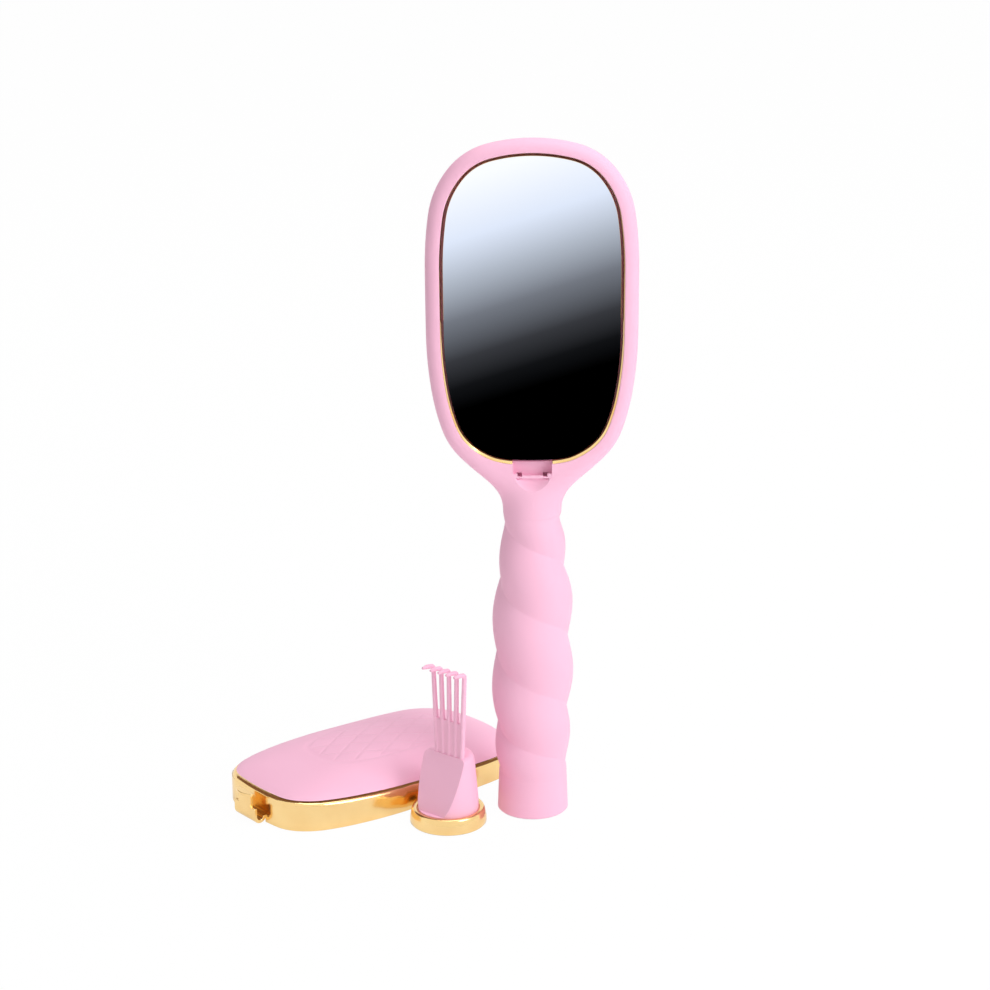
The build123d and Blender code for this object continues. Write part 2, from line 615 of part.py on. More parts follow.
def make_latch_finger():
    """Strip with a U-bend at its foot, catch shoulders half-way up and a half-moon thumb lip."""
    y0, z0 = bend_centre(), bend_height()
    face, inner = FINGER_FACE, FINGER_FACE + FINGER_THICK
    outer_r = bend_radius() + FINGER_THICK / 2
    inner_r = bend_radius() - FINGER_THICK / 2
    side = Plane(origin=(0, 0, 0), x_dir=(0, 1, 0), z_dir=(1, 0, 0))
    bend = Pos(y0, z0) * (Circle(outer_r) - Circle(inner_r))
    bend -= Pos(y0, z0 + outer_r) * Rectangle(3 * outer_r, 2 * outer_r)
    bend -= Pos(RIM_END + RIM_WALL + outer_r, z0) * Rectangle(2 * outer_r, 3 * outer_r)
    foot = extrude(side * bend, amount=SHOULDER_WIDTH / 2, both=True)
    half = SHOULDER_WIDTH / 2
    foot += block((-half, half), (face, inner), (z0, SHOULDER_HEIGHT))
    half = STEM_WIDTH / 2
    stem = block((-half, half), (face, inner), (SHOULDER_HEIGHT, FINGER_HEIGHT + LIP_THICK))
    half = FINGER_WIDTH / 2
    lip_radius = (half**2 + LIP_REACH**2) / (2 * LIP_REACH)
    lip = rod(lip_radius, LIP_THICK, (0, face - LIP_REACH + lip_radius, FINGER_HEIGHT), (0, 0, 1))
    lip &= block((-half, half), (face - LIP_REACH - 1, inner), (0, 2 * FINGER_HEIGHT))
    return foot + stem + lip


def make_cover_dome():
    """Domed shell whose edge stands on the rim's flange, inside the bevel."""
    outer = dome_form(RIM_INSET + RIM_BEVEL, DOME_RISE, 0)
    return outer - dome_form(RIM_INSET + RIM_BEVEL + DOME_WALL, DOME_RISE - DOME_WALL, -1)


def dome_form(inset, rise, foot):
    """Solid on the rim's upper face: leaning sides under a crown that curves both ways."""
    half_width = HEAD_HALF_WIDTH - inset
    half_length = (HEAD_RISE + HEAD_DROP) / 2 - inset
    middle = (HEAD_RISE - HEAD_DROP) / 2
    fall = DOME_FALL * rise
    radius = (half_length**2 + fall**2) / (2 * fall)
    bow = ThreePointArc((half_width, rise - fall), (0, rise), (-half_width, rise - fall))
    sides = Polyline((-half_width, rise - fall), (-half_width, foot - 1), (half_width, foot - 1), bow @ 0)
    profile = Plane.XZ.offset(-middle) * make_face(Curve() + [bow, sides])
    crown = revolve(profile, Axis((0, middle, rise - radius), (1, 0, 0)))
    walls = extrude(Pos(0, 0, foot) * head_oval(inset), amount=half_width / 3, taper=DOME_LEAN)
    return crest_plane().location * (crown & walls)


# ---------------------------------------------------------------- claw, in its own frame
# Local frame: z up its axis, x the way the slanted face and the hooks point.
def make_claw_ring():
    """Plated cup that the plug is pressed into: its wall leans in to a flat top edge."""
    inner = PLUG_RADIUS + GAP / 2
    return turned(
        (0, 0),
        (CLAW_RING_RADIUS, 0),
        (CLAW_RING_RADIUS, CLAW_RING_HEIGHT / 3),
        (CLAW_RING_TOP_RADIUS, CLAW_RING_HEIGHT),
        (inner, CLAW_RING_HEIGHT),
        (inner, CLAW_FLOOR),
        (0, CLAW_FLOOR),
    )


def make_claw_plug():
    """Tapered plug that fills the socket's mouth, cut back by one slanted flat face."""
    shoulder = CLAW_RING_HEIGHT
    plug = turned(
        (0, CLAW_FLOOR),
        (PLUG_RADIUS, CLAW_FLOOR),
        (PLUG_RADIUS, PLUG_TAPER_FROM),
        (PLUG_TOP_RADIUS, PLUG_TOP - PLUG_TOP_BREAK),
        (PLUG_TOP_RADIUS - PLUG_TOP_BREAK, PLUG_TOP),
        (0, PLUG_TOP),
    )
    above = PLUG_TOP + 2
    slope = (FLAT_FOOT_DISTANCE - FLAT_TOP_DISTANCE) / (PLUG_TOP - shoulder)
    top = (FLAT_FOOT_DISTANCE - slope * (above - shoulder), above)
    far = 2 * PLUG_RADIUS
    wedge = Polyline((FLAT_FOOT_DISTANCE, shoulder), top, (far, above), (far, shoulder), close=True)
    plug -= extrude(Plane.XZ * make_face(wedge), amount=far, both=True)
    return plug - comb_slot(GAP)


def comb_slot(play):
    """Slot in the plug's top that takes the foot of the comb."""
    half = TINE_ROOT_PITCH * (TINES - 1) / 2 + TINE_WIDTH / 2 + play
    y = (COMB_SIDESTEP - half, COMB_SIDESTEP + half)
    x = (COMB_OFFSET - TINE_THICK / 2 - play, COMB_OFFSET + TINE_THICK / 2 + play)
    return block(x, y, (PLUG_TOP - COMB_SLOT_DEPTH, PLUG_TOP + 1))


def make_claw_comb():
    """Five fanned tines on a thin web, each ending in a hook."""
    foot_z = PLUG_TOP - COMB_SLOT_DEPTH
    comb = comb_slot(0) & block((-20, 20), (-20, 20), (foot_z, PLUG_TOP))
    middle = (TINES - 1) / 2
    top_y = [COMB_SIDESTEP + (i - middle) * TINE_TOP_PITCH for i in range(TINES)]
    root_y = [COMB_SIDESTEP + (i - middle) * TINE_ROOT_PITCH for i in range(TINES)]
    side = Plane(origin=(COMB_OFFSET, 0, 0), x_dir=(0, 1, 0), z_dir=(1, 0, 0))
    half = TINE_WIDTH / 2
    for low, high in zip(root_y, top_y):
        outline = Polyline(
            (low - half, PLUG_TOP - 1), (low + half, PLUG_TOP - 1),
            (high + half, COMB_HEIGHT), (high - half, COMB_HEIGHT), close=True,
        )
        comb += extrude(side * make_face(outline), amount=TINE_THICK / 2, both=True)
        tip = COMB_OFFSET + TINE_THICK / 2 + HOOK_REACH
        root = COMB_OFFSET - TINE_THICK / 2
        profile = Polyline(
            (root, COMB_HEIGHT - TINE_WIDTH), (root, COMB_HEIGHT),
            (tip, COMB_HEIGHT + HOOK_RISE), (tip, COMB_HEIGHT + HOOK_RISE - TINE_WIDTH / 2), close=True,
        )
        across = Plane(origin=(0, high, 0), x_dir=(1, 0, 0), z_dir=(0, -1, 0))
        comb += extrude(across * make_face(profile), amount=half, both=True)
    share = WEB_HEIGHT / (COMB_HEIGHT - PLUG_TOP)
    web_top = [low + (high - low) * share for low, high in zip(root_y, top_y)]
    web = Polyline(
        (root_y[0], PLUG_TOP - 1), (root_y[-1], PLUG_TOP - 1),
        (web_top[-1], PLUG_TOP + WEB_HEIGHT), (web_top[0], PLUG_TOP + WEB_HEIGHT), close=True,
    )
    return comb + extrude(side * make_face(web), amount=WEB_THICK / 2, both=True)


# ---------------------------------------------------------------- placing and writing
def cover_frame():
    """Where the cover lies: dome up, latch end towards -X."""
    turn = radians(COVER_TURN)
    along = Vector(cos(turn), sin(turn))
    across = Vector(sin(turn), -cos(turn))
    beside = HEAD_HALF_WIDTH - RIM_INSET + COVER_BESIDE_CLAW + CLAW_RING_RADIUS
    place = Vector(*CLAW_PLACE) + along * COVER_BEHIND_CLAW - across * beside
    return Plane(origin=place, x_dir=across, z_dir=(0, 0, 1)).location


def claw_frame():
    return Pos(*CLAW_PLACE, 0) * Rot(0, 0, CLAW_TURN)


def latch_hinge():
    """Axis of the latch's U-bend in the brush's frame: a point and a direction."""
    start = (cover_frame() * Pos(0, bend_centre(), bend_height())).position
    end = (cover_frame() * Pos(1, bend_centre(), bend_height())).position
    return start, end - start


def make_brush():
    head = make_head_block()
    return {
        "head_front_shell": make_front_shell(head),
        "head_back_shell": make_back_shell(head),
        "grip": make_grip(),
        "friction_ring": make_friction_ring(),
        "socket_floor": make_socket_floor(),
        "neck_tang": make_tang(),
        "tang_screw": make_screw((0, 0, SOCKET_DEPTH), (0, 0, 1), TANG_SCREW_LENGTH),
        "shell_screws": make_shell_screws(),
        "mirror_bezel": make_bezel(),
        "mirror_glass": make_mirror_glass(),
        "mirror_pad": make_mirror_pad(),
        "latch_keeper": make_latch_keeper(),
        "air_cushion": make_cushion(),
        "cushion_ring": make_cushion_ring(),
        "bristle_pins": make_pins(),
    }


def make_cover():
    return {
        "cover_rim": make_cover_rim(),
        "cover_dome": make_cover_dome(),
        "latch_finger": make_latch_finger(),
    }


def make_claw():
    return {
        "claw_ring": make_claw_ring(),
        "claw_plug": make_claw_plug(),
        "claw_comb": make_claw_comb(),
    }


os.makedirs("parts", exist_ok=True)
nodes = make_brush()
nodes.update({name: cover_frame() * piece for name, piece in make_cover().items()})
nodes.update({name: claw_frame() * piece for name, piece in make_claw().items()})
for name, piece in nodes.items():
    export_step(piece, f"parts/{name}.step")
print("latch hinge", latch_hinge())
print("pins", len(pin_places()))
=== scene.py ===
from functools import partial
from math import asin, cos, pi, radians, sin, sqrt

import bmesh
import bpy
from mathutils import Matrix, Vector
from mathutils.geometry import delaunay_2d_cdt


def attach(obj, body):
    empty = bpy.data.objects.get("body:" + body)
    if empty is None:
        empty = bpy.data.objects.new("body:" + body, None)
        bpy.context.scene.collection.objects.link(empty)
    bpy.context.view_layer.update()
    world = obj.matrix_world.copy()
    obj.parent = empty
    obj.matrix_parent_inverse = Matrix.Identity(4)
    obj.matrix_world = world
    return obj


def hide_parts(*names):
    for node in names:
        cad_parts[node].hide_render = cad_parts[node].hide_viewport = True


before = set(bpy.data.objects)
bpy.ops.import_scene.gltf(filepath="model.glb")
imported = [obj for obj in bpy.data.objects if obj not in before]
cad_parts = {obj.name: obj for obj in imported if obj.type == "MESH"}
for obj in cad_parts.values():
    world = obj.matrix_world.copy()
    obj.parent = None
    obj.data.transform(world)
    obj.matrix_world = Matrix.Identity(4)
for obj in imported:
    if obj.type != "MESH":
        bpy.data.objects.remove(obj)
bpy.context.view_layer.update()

# ------------------------------------------------------------------ head shells
# The paddle head and neck: two ABS mouldings closed at a seam behind the mirror, sprayed with a
# soft-touch paint. The paint is a matt, faintly velvety pink with a very fine grain, and every
# moulded edge is softened by it.
PAINT_PINK = "#ffc6df"
PAINT_PINK_DEEP = "#fcc0da"
PAINT_GRAIN_MM = 0.35       # the real grain is near 0.05 mm; drawn coarser so that it shows
PAINT_CLOUD_MM = 22.0       # size of the slight unevenness of the sprayed colour
HEAD_HALF_WIDTH = 0.035
HEAD_RISE = 0.0435          # from the head's widest line to its top, and down to its foot
HEAD_DROP = 0.0708
HEAD_LINE = 0.1930          # height of that line
RISE_POWER = 2.8
DROP_POWER = 3.4
TOP_RISE = 0.0433           # the painted head's top, its corners sanded a little rounder
TOP_POWER = 2.68
RISE_NODES = (0, 40, 90)    # outline's normal, in degrees, where its arcs are pinned
DROP_NODES = (0, 10, 46, 90)
WAIST_HEIGHT = 0.108
WAIST_RADIUS = 0.0098
JOIN_HEIGHT = 0.1317        # where the neck's flare has run into the oval
JOIN_HANDLES = (0.0115, 0.010)  # pull of the flare's curve at the waist and at the oval
FACE_Y = -0.0090            # mirror face, seam and bristle face of the shells
SEAM_Y = 0.0030
BACK_Y = 0.0090
WALL_LEAN = 0.223           # how fast the side wall draws in towards the bristle face
FACE_ROUND = 0.0039
BACK_ROUND = 0.0034
NECK_ROUND_REACH = 0.0125
MIXING = (0.110, 0.1245)    # heights between which the neck's round section becomes the head's
NECK_SWELL_RUN = 0.008      # above the waist, where the neck is fuller than the head is deep
LEAST_ACROSS = 0.2          # keeps the neck's round section finite where the outline turns over
SECTION_STEPS = 18          # faces from the seam to the mirror face or to the back
WALL_SHARE = 0.25           # share of them on the side wall; the edge's rounding has the rest
SHELL_EDGE_MM = 0.22
SHELL_SHARP = 42            # degrees; sharper edges of the shells are rounded,
COPY_SHARP = 50             # and of the copies of CAD nodes
POCKET_INSET = 0.00473
TOP_THINNER = 0.0004        # what the border loses at the top and gains at its lower corners
CORNER_WIDER = 0.0010
CORNER_SPAN = (0.0205, 0.0140)  # those corners' place across, and their reach to each side
POCKET_EDGE = 0.0003
EDGE_BREAK = ((1, 0), (0.3, 0.3), (0, 1))  # how that edge is broken: shares out and down
POCKET_FLOOR_Y = -0.0018
PLINTH_INSET = 0.00598
PLINTH_Y = -0.0050
SEAT_INSET = 0.0084
SEAT_Y = 0.0050
NOTCH = ((-0.00645, 0.00645), (-0.012, -0.0050), (0.12223, 0.12755))
SLOT = ((0.0035, 0.0053), (-0.0100, -0.0030), (0.1216, 0.1231))  # on each side of the keeper
SCOOP_PLACE = (0, -0.01562, 0.12375)
SCOOP_RADIUS = 0.0090
# dark colour of the painted shade in the rim's groove and on the glass's edge
PAINTED_SHADE_COLOUR = "#1f1a1b"
PAINTED_SHADE_GRAIN_MM = 1.5
OUTLINE_SPACING = 0.0009    # between points: round the head, round what is sunk into it,
LOOP_SPACING = 0.0014       # and round the glass and its liner
FINE_SPACING = 0.0007
DENSE_SPACING = 0.0002      # of the curve that the head's points are laid out on
FLARE_STEPS = 400
WELD = 0.000002             # points closer than this are one
TOUCH = 0.000001            # how close counts as on the seam or on the waist


def linear(code):
    """Linear colour of an sRGB hex code."""
    channels = [int(code[i : i + 2], 16) / 255 for i in (1, 3, 5)]
    curve = [c / 12.92 if c <= 0.04045 else ((c + 0.055) / 1.055) ** 2.4 for c in channels]
    return (*curve, 1.0)


def add_node(tree, kind, inputs=None, settings=None):
    """Adds a node; inputs are its sockets' values, or the sockets that they come from."""
    node = tree.nodes.new(kind)
    for name, value in (settings or {}).items():
        setattr(node, name, value)
    for name, value in (inputs or {}).items():
        if isinstance(value, bpy.types.NodeSocket):
            tree.links.new(value, node.inputs[name])
        else:
            node.inputs[name].default_value = value
    return node


def worked(tree, operation, *values):
    """Output of a math node on up to three values or sockets."""
    return add_node(tree, "ShaderNodeMath", dict(enumerate(values)), {"operation": operation}).outputs[0]


def speckle(tree, size_mm, detail=2.0):
    """Noise that stays with its piece."""
    place = add_node(tree, "ShaderNodeTexCoord").outputs["Object"]
    noise = add_node(tree, "ShaderNodeTexNoise", {"Vector": place, "Scale": 1000 / size_mm, "Detail": detail})
    return noise.outputs["Fac"]


def spread(tree, value, low, high):
    """Value from low to high for one from 0 to 1."""
    return add_node(tree, "ShaderNodeMapRange", {"Value": value, "To Min": low, "To Max": high}).outputs[0]


def tinted(tree, share, low, high):
    """Colour between two hex codes."""
    mix = add_node(tree, "ShaderNodeMix", {0: share, 6: linear(low), 7: linear(high)}, {"data_type": "RGBA"})
    return mix.outputs[2]


def bumped(tree, height, strength, distance, normal=None):
    """Normal of an uneven surface, over another normal if there is one."""
    bump = add_node(tree, "ShaderNodeBump", {"Height": height, "Strength": strength, "Distance": distance})
    if normal is not None:
        tree.links.new(normal, bump.inputs["Normal"])
    return bump.outputs[0]


def bare_material(name):
    """Empty node material and its tree."""
    material = bpy.data.materials.new(name)
    material.use_nodes = True
    material.node_tree.nodes.clear()
    return material, material.node_tree


def shaded(material, inputs, kind="ShaderNodeBsdfPrincipled"):
    """Ends a material with its shader."""
    shader = add_node(material.node_tree, kind, inputs)
    add_node(material.node_tree, "ShaderNodeOutputMaterial", {"Surface": shader.outputs[0]})
    return material


def soft_touch_paint(name, relief=None):
    """Soft-touch paint on ABS: matt, a little velvety at grazing angles, with a fine sprayed grain.

    relief makes the height of a moulded pattern, in metres, from the material's tree.
    """
    material, tree = bare_material(name)
    grain = speckle(tree, PAINT_GRAIN_MM, 1.0)
    moulded = bumped(tree, relief(tree), 1.0, 1.0) if relief else None
    return shaded(material, {
        "Base Color": tinted(tree, speckle(tree, PAINT_CLOUD_MM), PAINT_PINK_DEEP, PAINT_PINK),
        "Roughness": spread(tree, grain, 0.56, 0.68), "Normal": bumped(tree, grain, 0.08, 0.00005, moulded),
        "IOR": 1.46, "Specular IOR Level": 0.25, "Sheen Weight": 0.08, "Sheen Roughness": 0.5})


paint = soft_touch_paint("soft_touch_paint_on_abs")


def dress(piece, material):
    """Gives a piece or a CAD node its only finish."""
    piece.data.materials.clear()
    piece.data.materials.append(material)


def seated(piece, material, slot, body, *nodes):
    """Finishes a piece: its material, the body it rides and the nodes it stands for; slot is not used."""
    dress(piece, material)
    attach(piece, body)
    if nodes:
        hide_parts(*nodes)


def linked(name, data):
    """Object of the scene."""
    piece = bpy.data.objects.new(name, data)
    bpy.context.collection.objects.link(piece)
    return piece


def new_piece(name, form, placing=None):
    """Object with a mesh from a bmesh, which is moved to its place and freed."""
    if placing is not None:
        bmesh.ops.transform(form, matrix=placing, verts=form.verts)
    mesh = bpy.data.meshes.new(name)
    bmesh.ops.recalc_face_normals(form, faces=form.faces)
    form.to_mesh(mesh)
    form.free()
    return linked(name, mesh)


def laced(form, rows, closed=True):
    """Faces between each row of vertices and the next, listed row by row."""
    bands = []
    for low, high in zip(rows, rows[1:]):
        places = range(0 if closed else 1, len(low))
        bands.append([form.faces.new((low[i - 1], low[i], high[i], high[i - 1])) for i in places])
    return bands


def soften(piece, edge_mm, sharp_angle):
    """Rounds a piece's sharp edges and shades what lies between them evenly."""
    piece.data.shade_smooth()
    bevel = piece.modifiers.new("moulded_edges", "BEVEL")
    bevel.width = edge_mm / 1000
    bevel.segments = 2
    bevel.angle_limit = radians(sharp_angle)
    even = piece.modifiers.new("even_shading", "WEIGHTED_NORMAL")
    even.keep_sharp = False
    return piece


def finished_copy(node, name, edge_mm):
    """Copy of a CAD node with its facets joined and its edges rounded."""
    form = bmesh.new()
    form.from_mesh(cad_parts[node].data)
    bmesh.ops.remove_doubles(form, verts=form.verts, dist=WELD)
    bmesh.ops.dissolve_limit(form, angle_limit=radians(0.3), verts=form.verts, edges=form.edges)
    return soften(new_piece(name, form), edge_mm, COPY_SHARP)


def half_oval(spacing, rise=HEAD_RISE, rise_power=RISE_POWER):
    """Right half of the oval from foot to top: points across and up, each with its outward normal."""
    quarters = []
    for reach, power, nodes in ((HEAD_DROP, DROP_POWER, DROP_NODES), (rise, rise_power, RISE_NODES)):
        stops = []
        for degrees in nodes:
            out, up = cos(radians(degrees)), sin(radians(degrees))
            across = (round(out, 9) * HEAD_HALF_WIDTH**power) ** (1 / (power - 1))
            along = (round(up, 9) * reach**power) ** (1 / (power - 1))
            size = ((across / HEAD_HALF_WIDTH) ** power + (along / reach) ** power) ** (1 / power)
            stops.append((Vector((across, along)) / size, Vector((-up, out))))
        quarter = []
        for (start, heading), (end, last) in zip(stops, stops[1:]):
            across, turn = end - start, 2 * (1 - heading.dot(last))
            along = across.dot(heading + last)
            step = (sqrt(along**2 + turn * across.dot(across)) - along) / turn
            leaving, arriving = start + heading * step, end - last * step
            middle = ((leaving + arriving) / 2, (arriving - leaving).normalized())
            for (low, way), (high, after) in zip(((start, heading), middle), (middle, (end, last))):
                swing = way.angle(after)
                radius = (high - low).length / (2 * sin(swing / 2))
                normal = Vector((way.y, -way.x))
                count = max(2, round(radius * swing / spacing))
                for i in range(count):
                    outward = Matrix.Rotation(swing * i / count, 2) @ normal
                    quarter.append((low + radius * (outward - normal), outward))
        quarter.append((stops[-1][0], Vector((0, 1))))
        quarters.append(quarter)
    lower = [(Vector((spot.x, HEAD_LINE - spot.y)), Vector((way.x, -way.y))) for spot, way in quarters[0]]
    upper = [(Vector((spot.x, HEAD_LINE + spot.y)), way) for spot, way in quarters[1]]
    return lower[:0:-1] + upper


def both_sides(right):
    """Closed loop from its right half, whose ends lie on the centre line."""
    return right + [Vector((-spot.x, spot.y)) for spot in reversed(right[1:-1])]


def oval_loop(inset):
    """Closed outline of the head, drawn in by an even border, as points across and up."""
    return both_sides([spot - way * inset for spot, way in half_oval(LOOP_SPACING)])


def corner_share(spot):
    """1 at the middle of a lower corner of the mirror's surround, running out to 0 on both sides of it."""
    away = abs(abs(spot.x) - CORNER_SPAN[0]) / CORNER_SPAN[1]
    return cos(pi / 2 * min(1.0, away)) ** 2 if spot.y < HEAD_LINE - HEAD_HALF_WIDTH else 0.0


def mirror_loop(inset, spacing=LOOP_SPACING):
    """Closed outline round the mirror; its border thins at the top and widens at the lower corners."""
    right = []
    for spot, way in half_oval(spacing, TOP_RISE, TOP_POWER):
        extra = CORNER_WIDER * corner_share(spot) if way.y < 0 else -TOP_THINNER * way.y**2
        right.append(spot - way * (inset + extra))
    return both_sides(right)


def head_outline():
    """Right half of the outline of neck and head, from the waist to the top, with outward normals."""
    half = half_oval(DENSE_SPACING, TOP_RISE, TOP_POWER)
    oval = [(spot, way) for spot, way in half if spot.y > JOIN_HEIGHT]
    end, normal = oval[0]
    start = Vector((WAIST_RADIUS, WAIST_HEIGHT))
    rising = start + Vector((0, JOIN_HANDLES[0]))
    arriving = end - Vector((-normal.y, normal.x)) * JOIN_HANDLES[1]
    dense = []
    for i in range(FLARE_STEPS):
        t = i / FLARE_STEPS
        leaving = (1 - t)**3 * start + 3 * t * (1 - t)**2 * rising
        dense.append(leaving + 3 * t**2 * (1 - t) * arriving + t**3 * end)
    dense += [spot for spot, _ in oval]
    travelled = [0.0]
    for low, high in zip(dense, dense[1:]):
        travelled.append(travelled[-1] + (high - low).length)
    count = round(travelled[-1] / OUTLINE_SPACING)
    spots, at = [], 0
    for i in range(count + 1):
        goal = travelled[-1] * i / count
        while at < len(dense) - 2 and travelled[at + 1] < goal:
            at += 1
        share = (goal - travelled[at]) / (travelled[at + 1] - travelled[at])
        spots.append(dense[at].lerp(dense[at + 1], share))
    outline = []
    for i, spot in enumerate(spots):
        way = (spots[min(i + 1, count)] - spots[max(i - 1, 0)]).normalized()
        if i == 0:
            way = Vector((0, 1))
        if i == count:
            way = Vector((-1, 0))
        outline.append((spot, Vector((way.y, -way.x))))
    return outline


def head_section(spot, normal, facing):
    """Half section at a point of the outline, from the seam to the face (-1) or to the back (1)."""
    share = min(1.0, max(0.0, (spot.y - MIXING[0]) / (MIXING[1] - MIXING[0])))
    paddle = share * share * (3 - 2 * share)
    swell = (1 - min(1.0, (spot.y - WAIST_HEIGHT) / NECK_SWELL_RUN)) ** 2
    depth = -FACE_Y + (WAIST_RADIUS + FACE_Y) * swell
    reach = min(spot.x / max(normal.x, LEAST_ACROSS), NECK_ROUND_REACH)
    widest = FACE_Y + FACE_ROUND
    if facing < 0:
        height, shoulder = FACE_ROUND, widest
        rounding = height + CORNER_WIDER * corner_share(spot)
    else:
        height, shoulder = BACK_ROUND, BACK_Y - BACK_ROUND
        rounding = height
    section = []
    for i in range(SECTION_STEPS + 1):
        part = i / SECTION_STEPS
        # the head: a leaning side wall, then a quarter round
        if part < WALL_SHARE:
            y = SEAM_Y + (shoulder - SEAM_Y) * part / WALL_SHARE
            inset = WALL_LEAN * (y - widest)
        else:
            swing = pi / 2 * (part - WALL_SHARE) / (1 - WALL_SHARE)
            y = shoulder + facing * height * sin(swing)
            inset = WALL_LEAN * (shoulder - widest) + rounding * (1 - cos(swing))
        # the neck: an ellipse
        first = facing * asin(SEAM_Y / depth)
        swing = first + (pi / 2 - first) * part
        inset = paddle * inset + (1 - paddle) * reach * (1 - cos(swing))
        y = paddle * y + (1 - paddle) * facing * depth * sin(swing)
        section.append(Vector((spot.x - normal.x * inset, y, spot.y - normal.y * inset)))
    return section


def fill_between(form, outer, inner):
    """Flat faces between a closed loop of vertices and a second one inside it."""
    corners = outer + inner
    flat = [Vector((vertex.co.x, vertex.co.z)) for vertex in corners]
    bounds = [list(range(len(outer))), list(range(len(outer), len(corners)))]
    spots, _, faces, kept, _, owners = delaunay_2d_cdt(flat, [], bounds, 1, 1e-7)
    for face, owner in zip(faces, owners):
        if 1 not in owner:
            form.faces.new([corners[kept[i][0]] for i in face])


def head_half(facing):
    """Closed mesh of the front (-1) or back (1) shell, with what is sunk into its face."""
    form = bmesh.new()
    rows = [head_section(spot, normal, facing) for spot, normal in head_outline()]
    for side in (1, -1):
        grid = [[form.verts.new((side * spot.x, spot.y, spot.z)) for spot in row] for row in rows]
        laced(form, grid, closed=False)
    bmesh.ops.remove_doubles(form, verts=form.verts, dist=TOUCH)
    # flat ends at the seam and at the waist, which share one new edge
    rims = [edge for edge in form.edges if edge.is_boundary]
    at_seam = [edge for edge in rims if all(abs(vertex.co.y - SEAM_Y) < TOUCH for vertex in edge.verts)]
    at_waist = [edge for edge in rims if all(vertex.co.z < WAIST_HEIGHT + TOUCH for vertex in edge.verts)]
    corners = {vertex for edge in at_seam for vertex in edge.verts}
    shared = form.edges.new([vertex for vertex in corners if vertex.co.z < WAIST_HEIGHT + TOUCH])
    for rim in (at_seam, at_waist):
        bmesh.ops.edgeloop_fill(form, edges=rim + [shared])
    # the rim that is still open, in order
    links = {}
    open_rim = [edge for edge in form.edges if edge.is_boundary]
    for edge in open_rim:
        for vertex in edge.verts:
            links.setdefault(vertex, []).append(edge.other_vert(vertex))
    outer, before = [open_rim[0].verts[0]], None
    while True:
        onward = [vertex for vertex in links[outer[-1]] if vertex is not before][0]
        if onward is outer[0]:
            break
        before = outer[-1]
        outer.append(onward)
    # from there to the mirror's pocket or the cushion's seat, and down into it
    if facing < 0:
        loop, inset, face_y = mirror_loop, POCKET_INSET, FACE_Y
        sunk = ((inset, POCKET_FLOOR_Y), (PLINTH_INSET, POCKET_FLOOR_Y), (PLINTH_INSET, PLINTH_Y))
    else:
        loop, inset, face_y = oval_loop, SEAT_INSET, BACK_Y
        sunk = ((inset, SEAT_Y),)
    edge = [(inset - POCKET_EDGE * away, face_y - facing * POCKET_EDGE * down) for away, down in EDGE_BREAK]
    loops = [[form.verts.new((spot.x, y, spot.y)) for spot in loop(border)] for border, y in (*edge, *sunk)]
    fill_between(form, outer, loops[0])
    bands = laced(form, loops)
    bands.append([form.faces.new(loops[-1])])
    # the pocket's walls and floor take the second, dark material: painted shade in the groove
    if facing < 0:
        for band in bands[len(EDGE_BREAK) - 1:]:
            for face in band:
                face.material_index = 1
    return form


def carved(piece, *cutters):
    """Cuts closed meshes out of a piece."""
    for cutter in cutters:
        cut = piece.modifiers.new("cut", "BOOLEAN")
        cut.object = cutter
        cut.solver = "EXACT"
    bpy.context.view_layer.update()
    ready = piece.evaluated_get(bpy.context.evaluated_depsgraph_get())
    mesh = bpy.data.meshes.new_from_object(ready)
    piece.modifiers.clear()
    piece.data = mesh
    for cutter in cutters:
        bpy.data.objects.remove(cutter)
    return piece


def box_cutter(spans, side=1):
    """Box of the recess for the latch, or of a slot beside its keeper."""
    form = bmesh.new()
    bmesh.ops.create_cube(form, size=1.0)
    bmesh.ops.scale(form, vec=[high - low for low, high in spans], verts=form.verts)
    middle = [(high + low) / 2 for low, high in spans]
    bmesh.ops.translate(form, vec=(side * middle[0], middle[1], middle[2]), verts=form.verts)
    return new_piece("box_cutter", form)


def scoop_cutter():
    """Ball that leaves the thumb's dip below the recess."""
    form = bmesh.new()
    bmesh.ops.create_uvsphere(form, u_segments=96, v_segments=64, radius=SCOOP_RADIUS)
    bmesh.ops.translate(form, vec=SCOOP_PLACE, verts=form.verts)
    return new_piece("scoop_cutter", form)


def painted_shade_dark(name):
    """Dark and satin: painted shade in the groove for the cover's rim and on the glass's edge."""
    material, tree = bare_material(name)
    return shaded(material, {
        "Base Color": linear(PAINTED_SHADE_COLOUR), "Roughness": spread(tree, speckle(tree, PAINTED_SHADE_GRAIN_MM), 0.45, 0.6),
        "Specular IOR Level": 0.3})


front_shell = carved(
    new_piece("painted_front_shell", head_half(-1)),
    box_cutter(NOTCH), scoop_cutter(), box_cutter(SLOT), box_cutter(SLOT, -1))
back_shell = new_piece("painted_back_shell", head_half(1))
for shell, node in ((front_shell, "head_front_shell"), (back_shell, "head_back_shell")):
    seated(soften(shell, SHELL_EDGE_MM, SHELL_SHARP), paint, "soft_touch_pink", "brush", node)
# painted shade: a dark material stands in for the shade in the rim's groove
front_shell.data.materials.append(painted_shade_dark("painted_shade_in_the_groove"))
dress(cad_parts["latch_keeper"], paint)

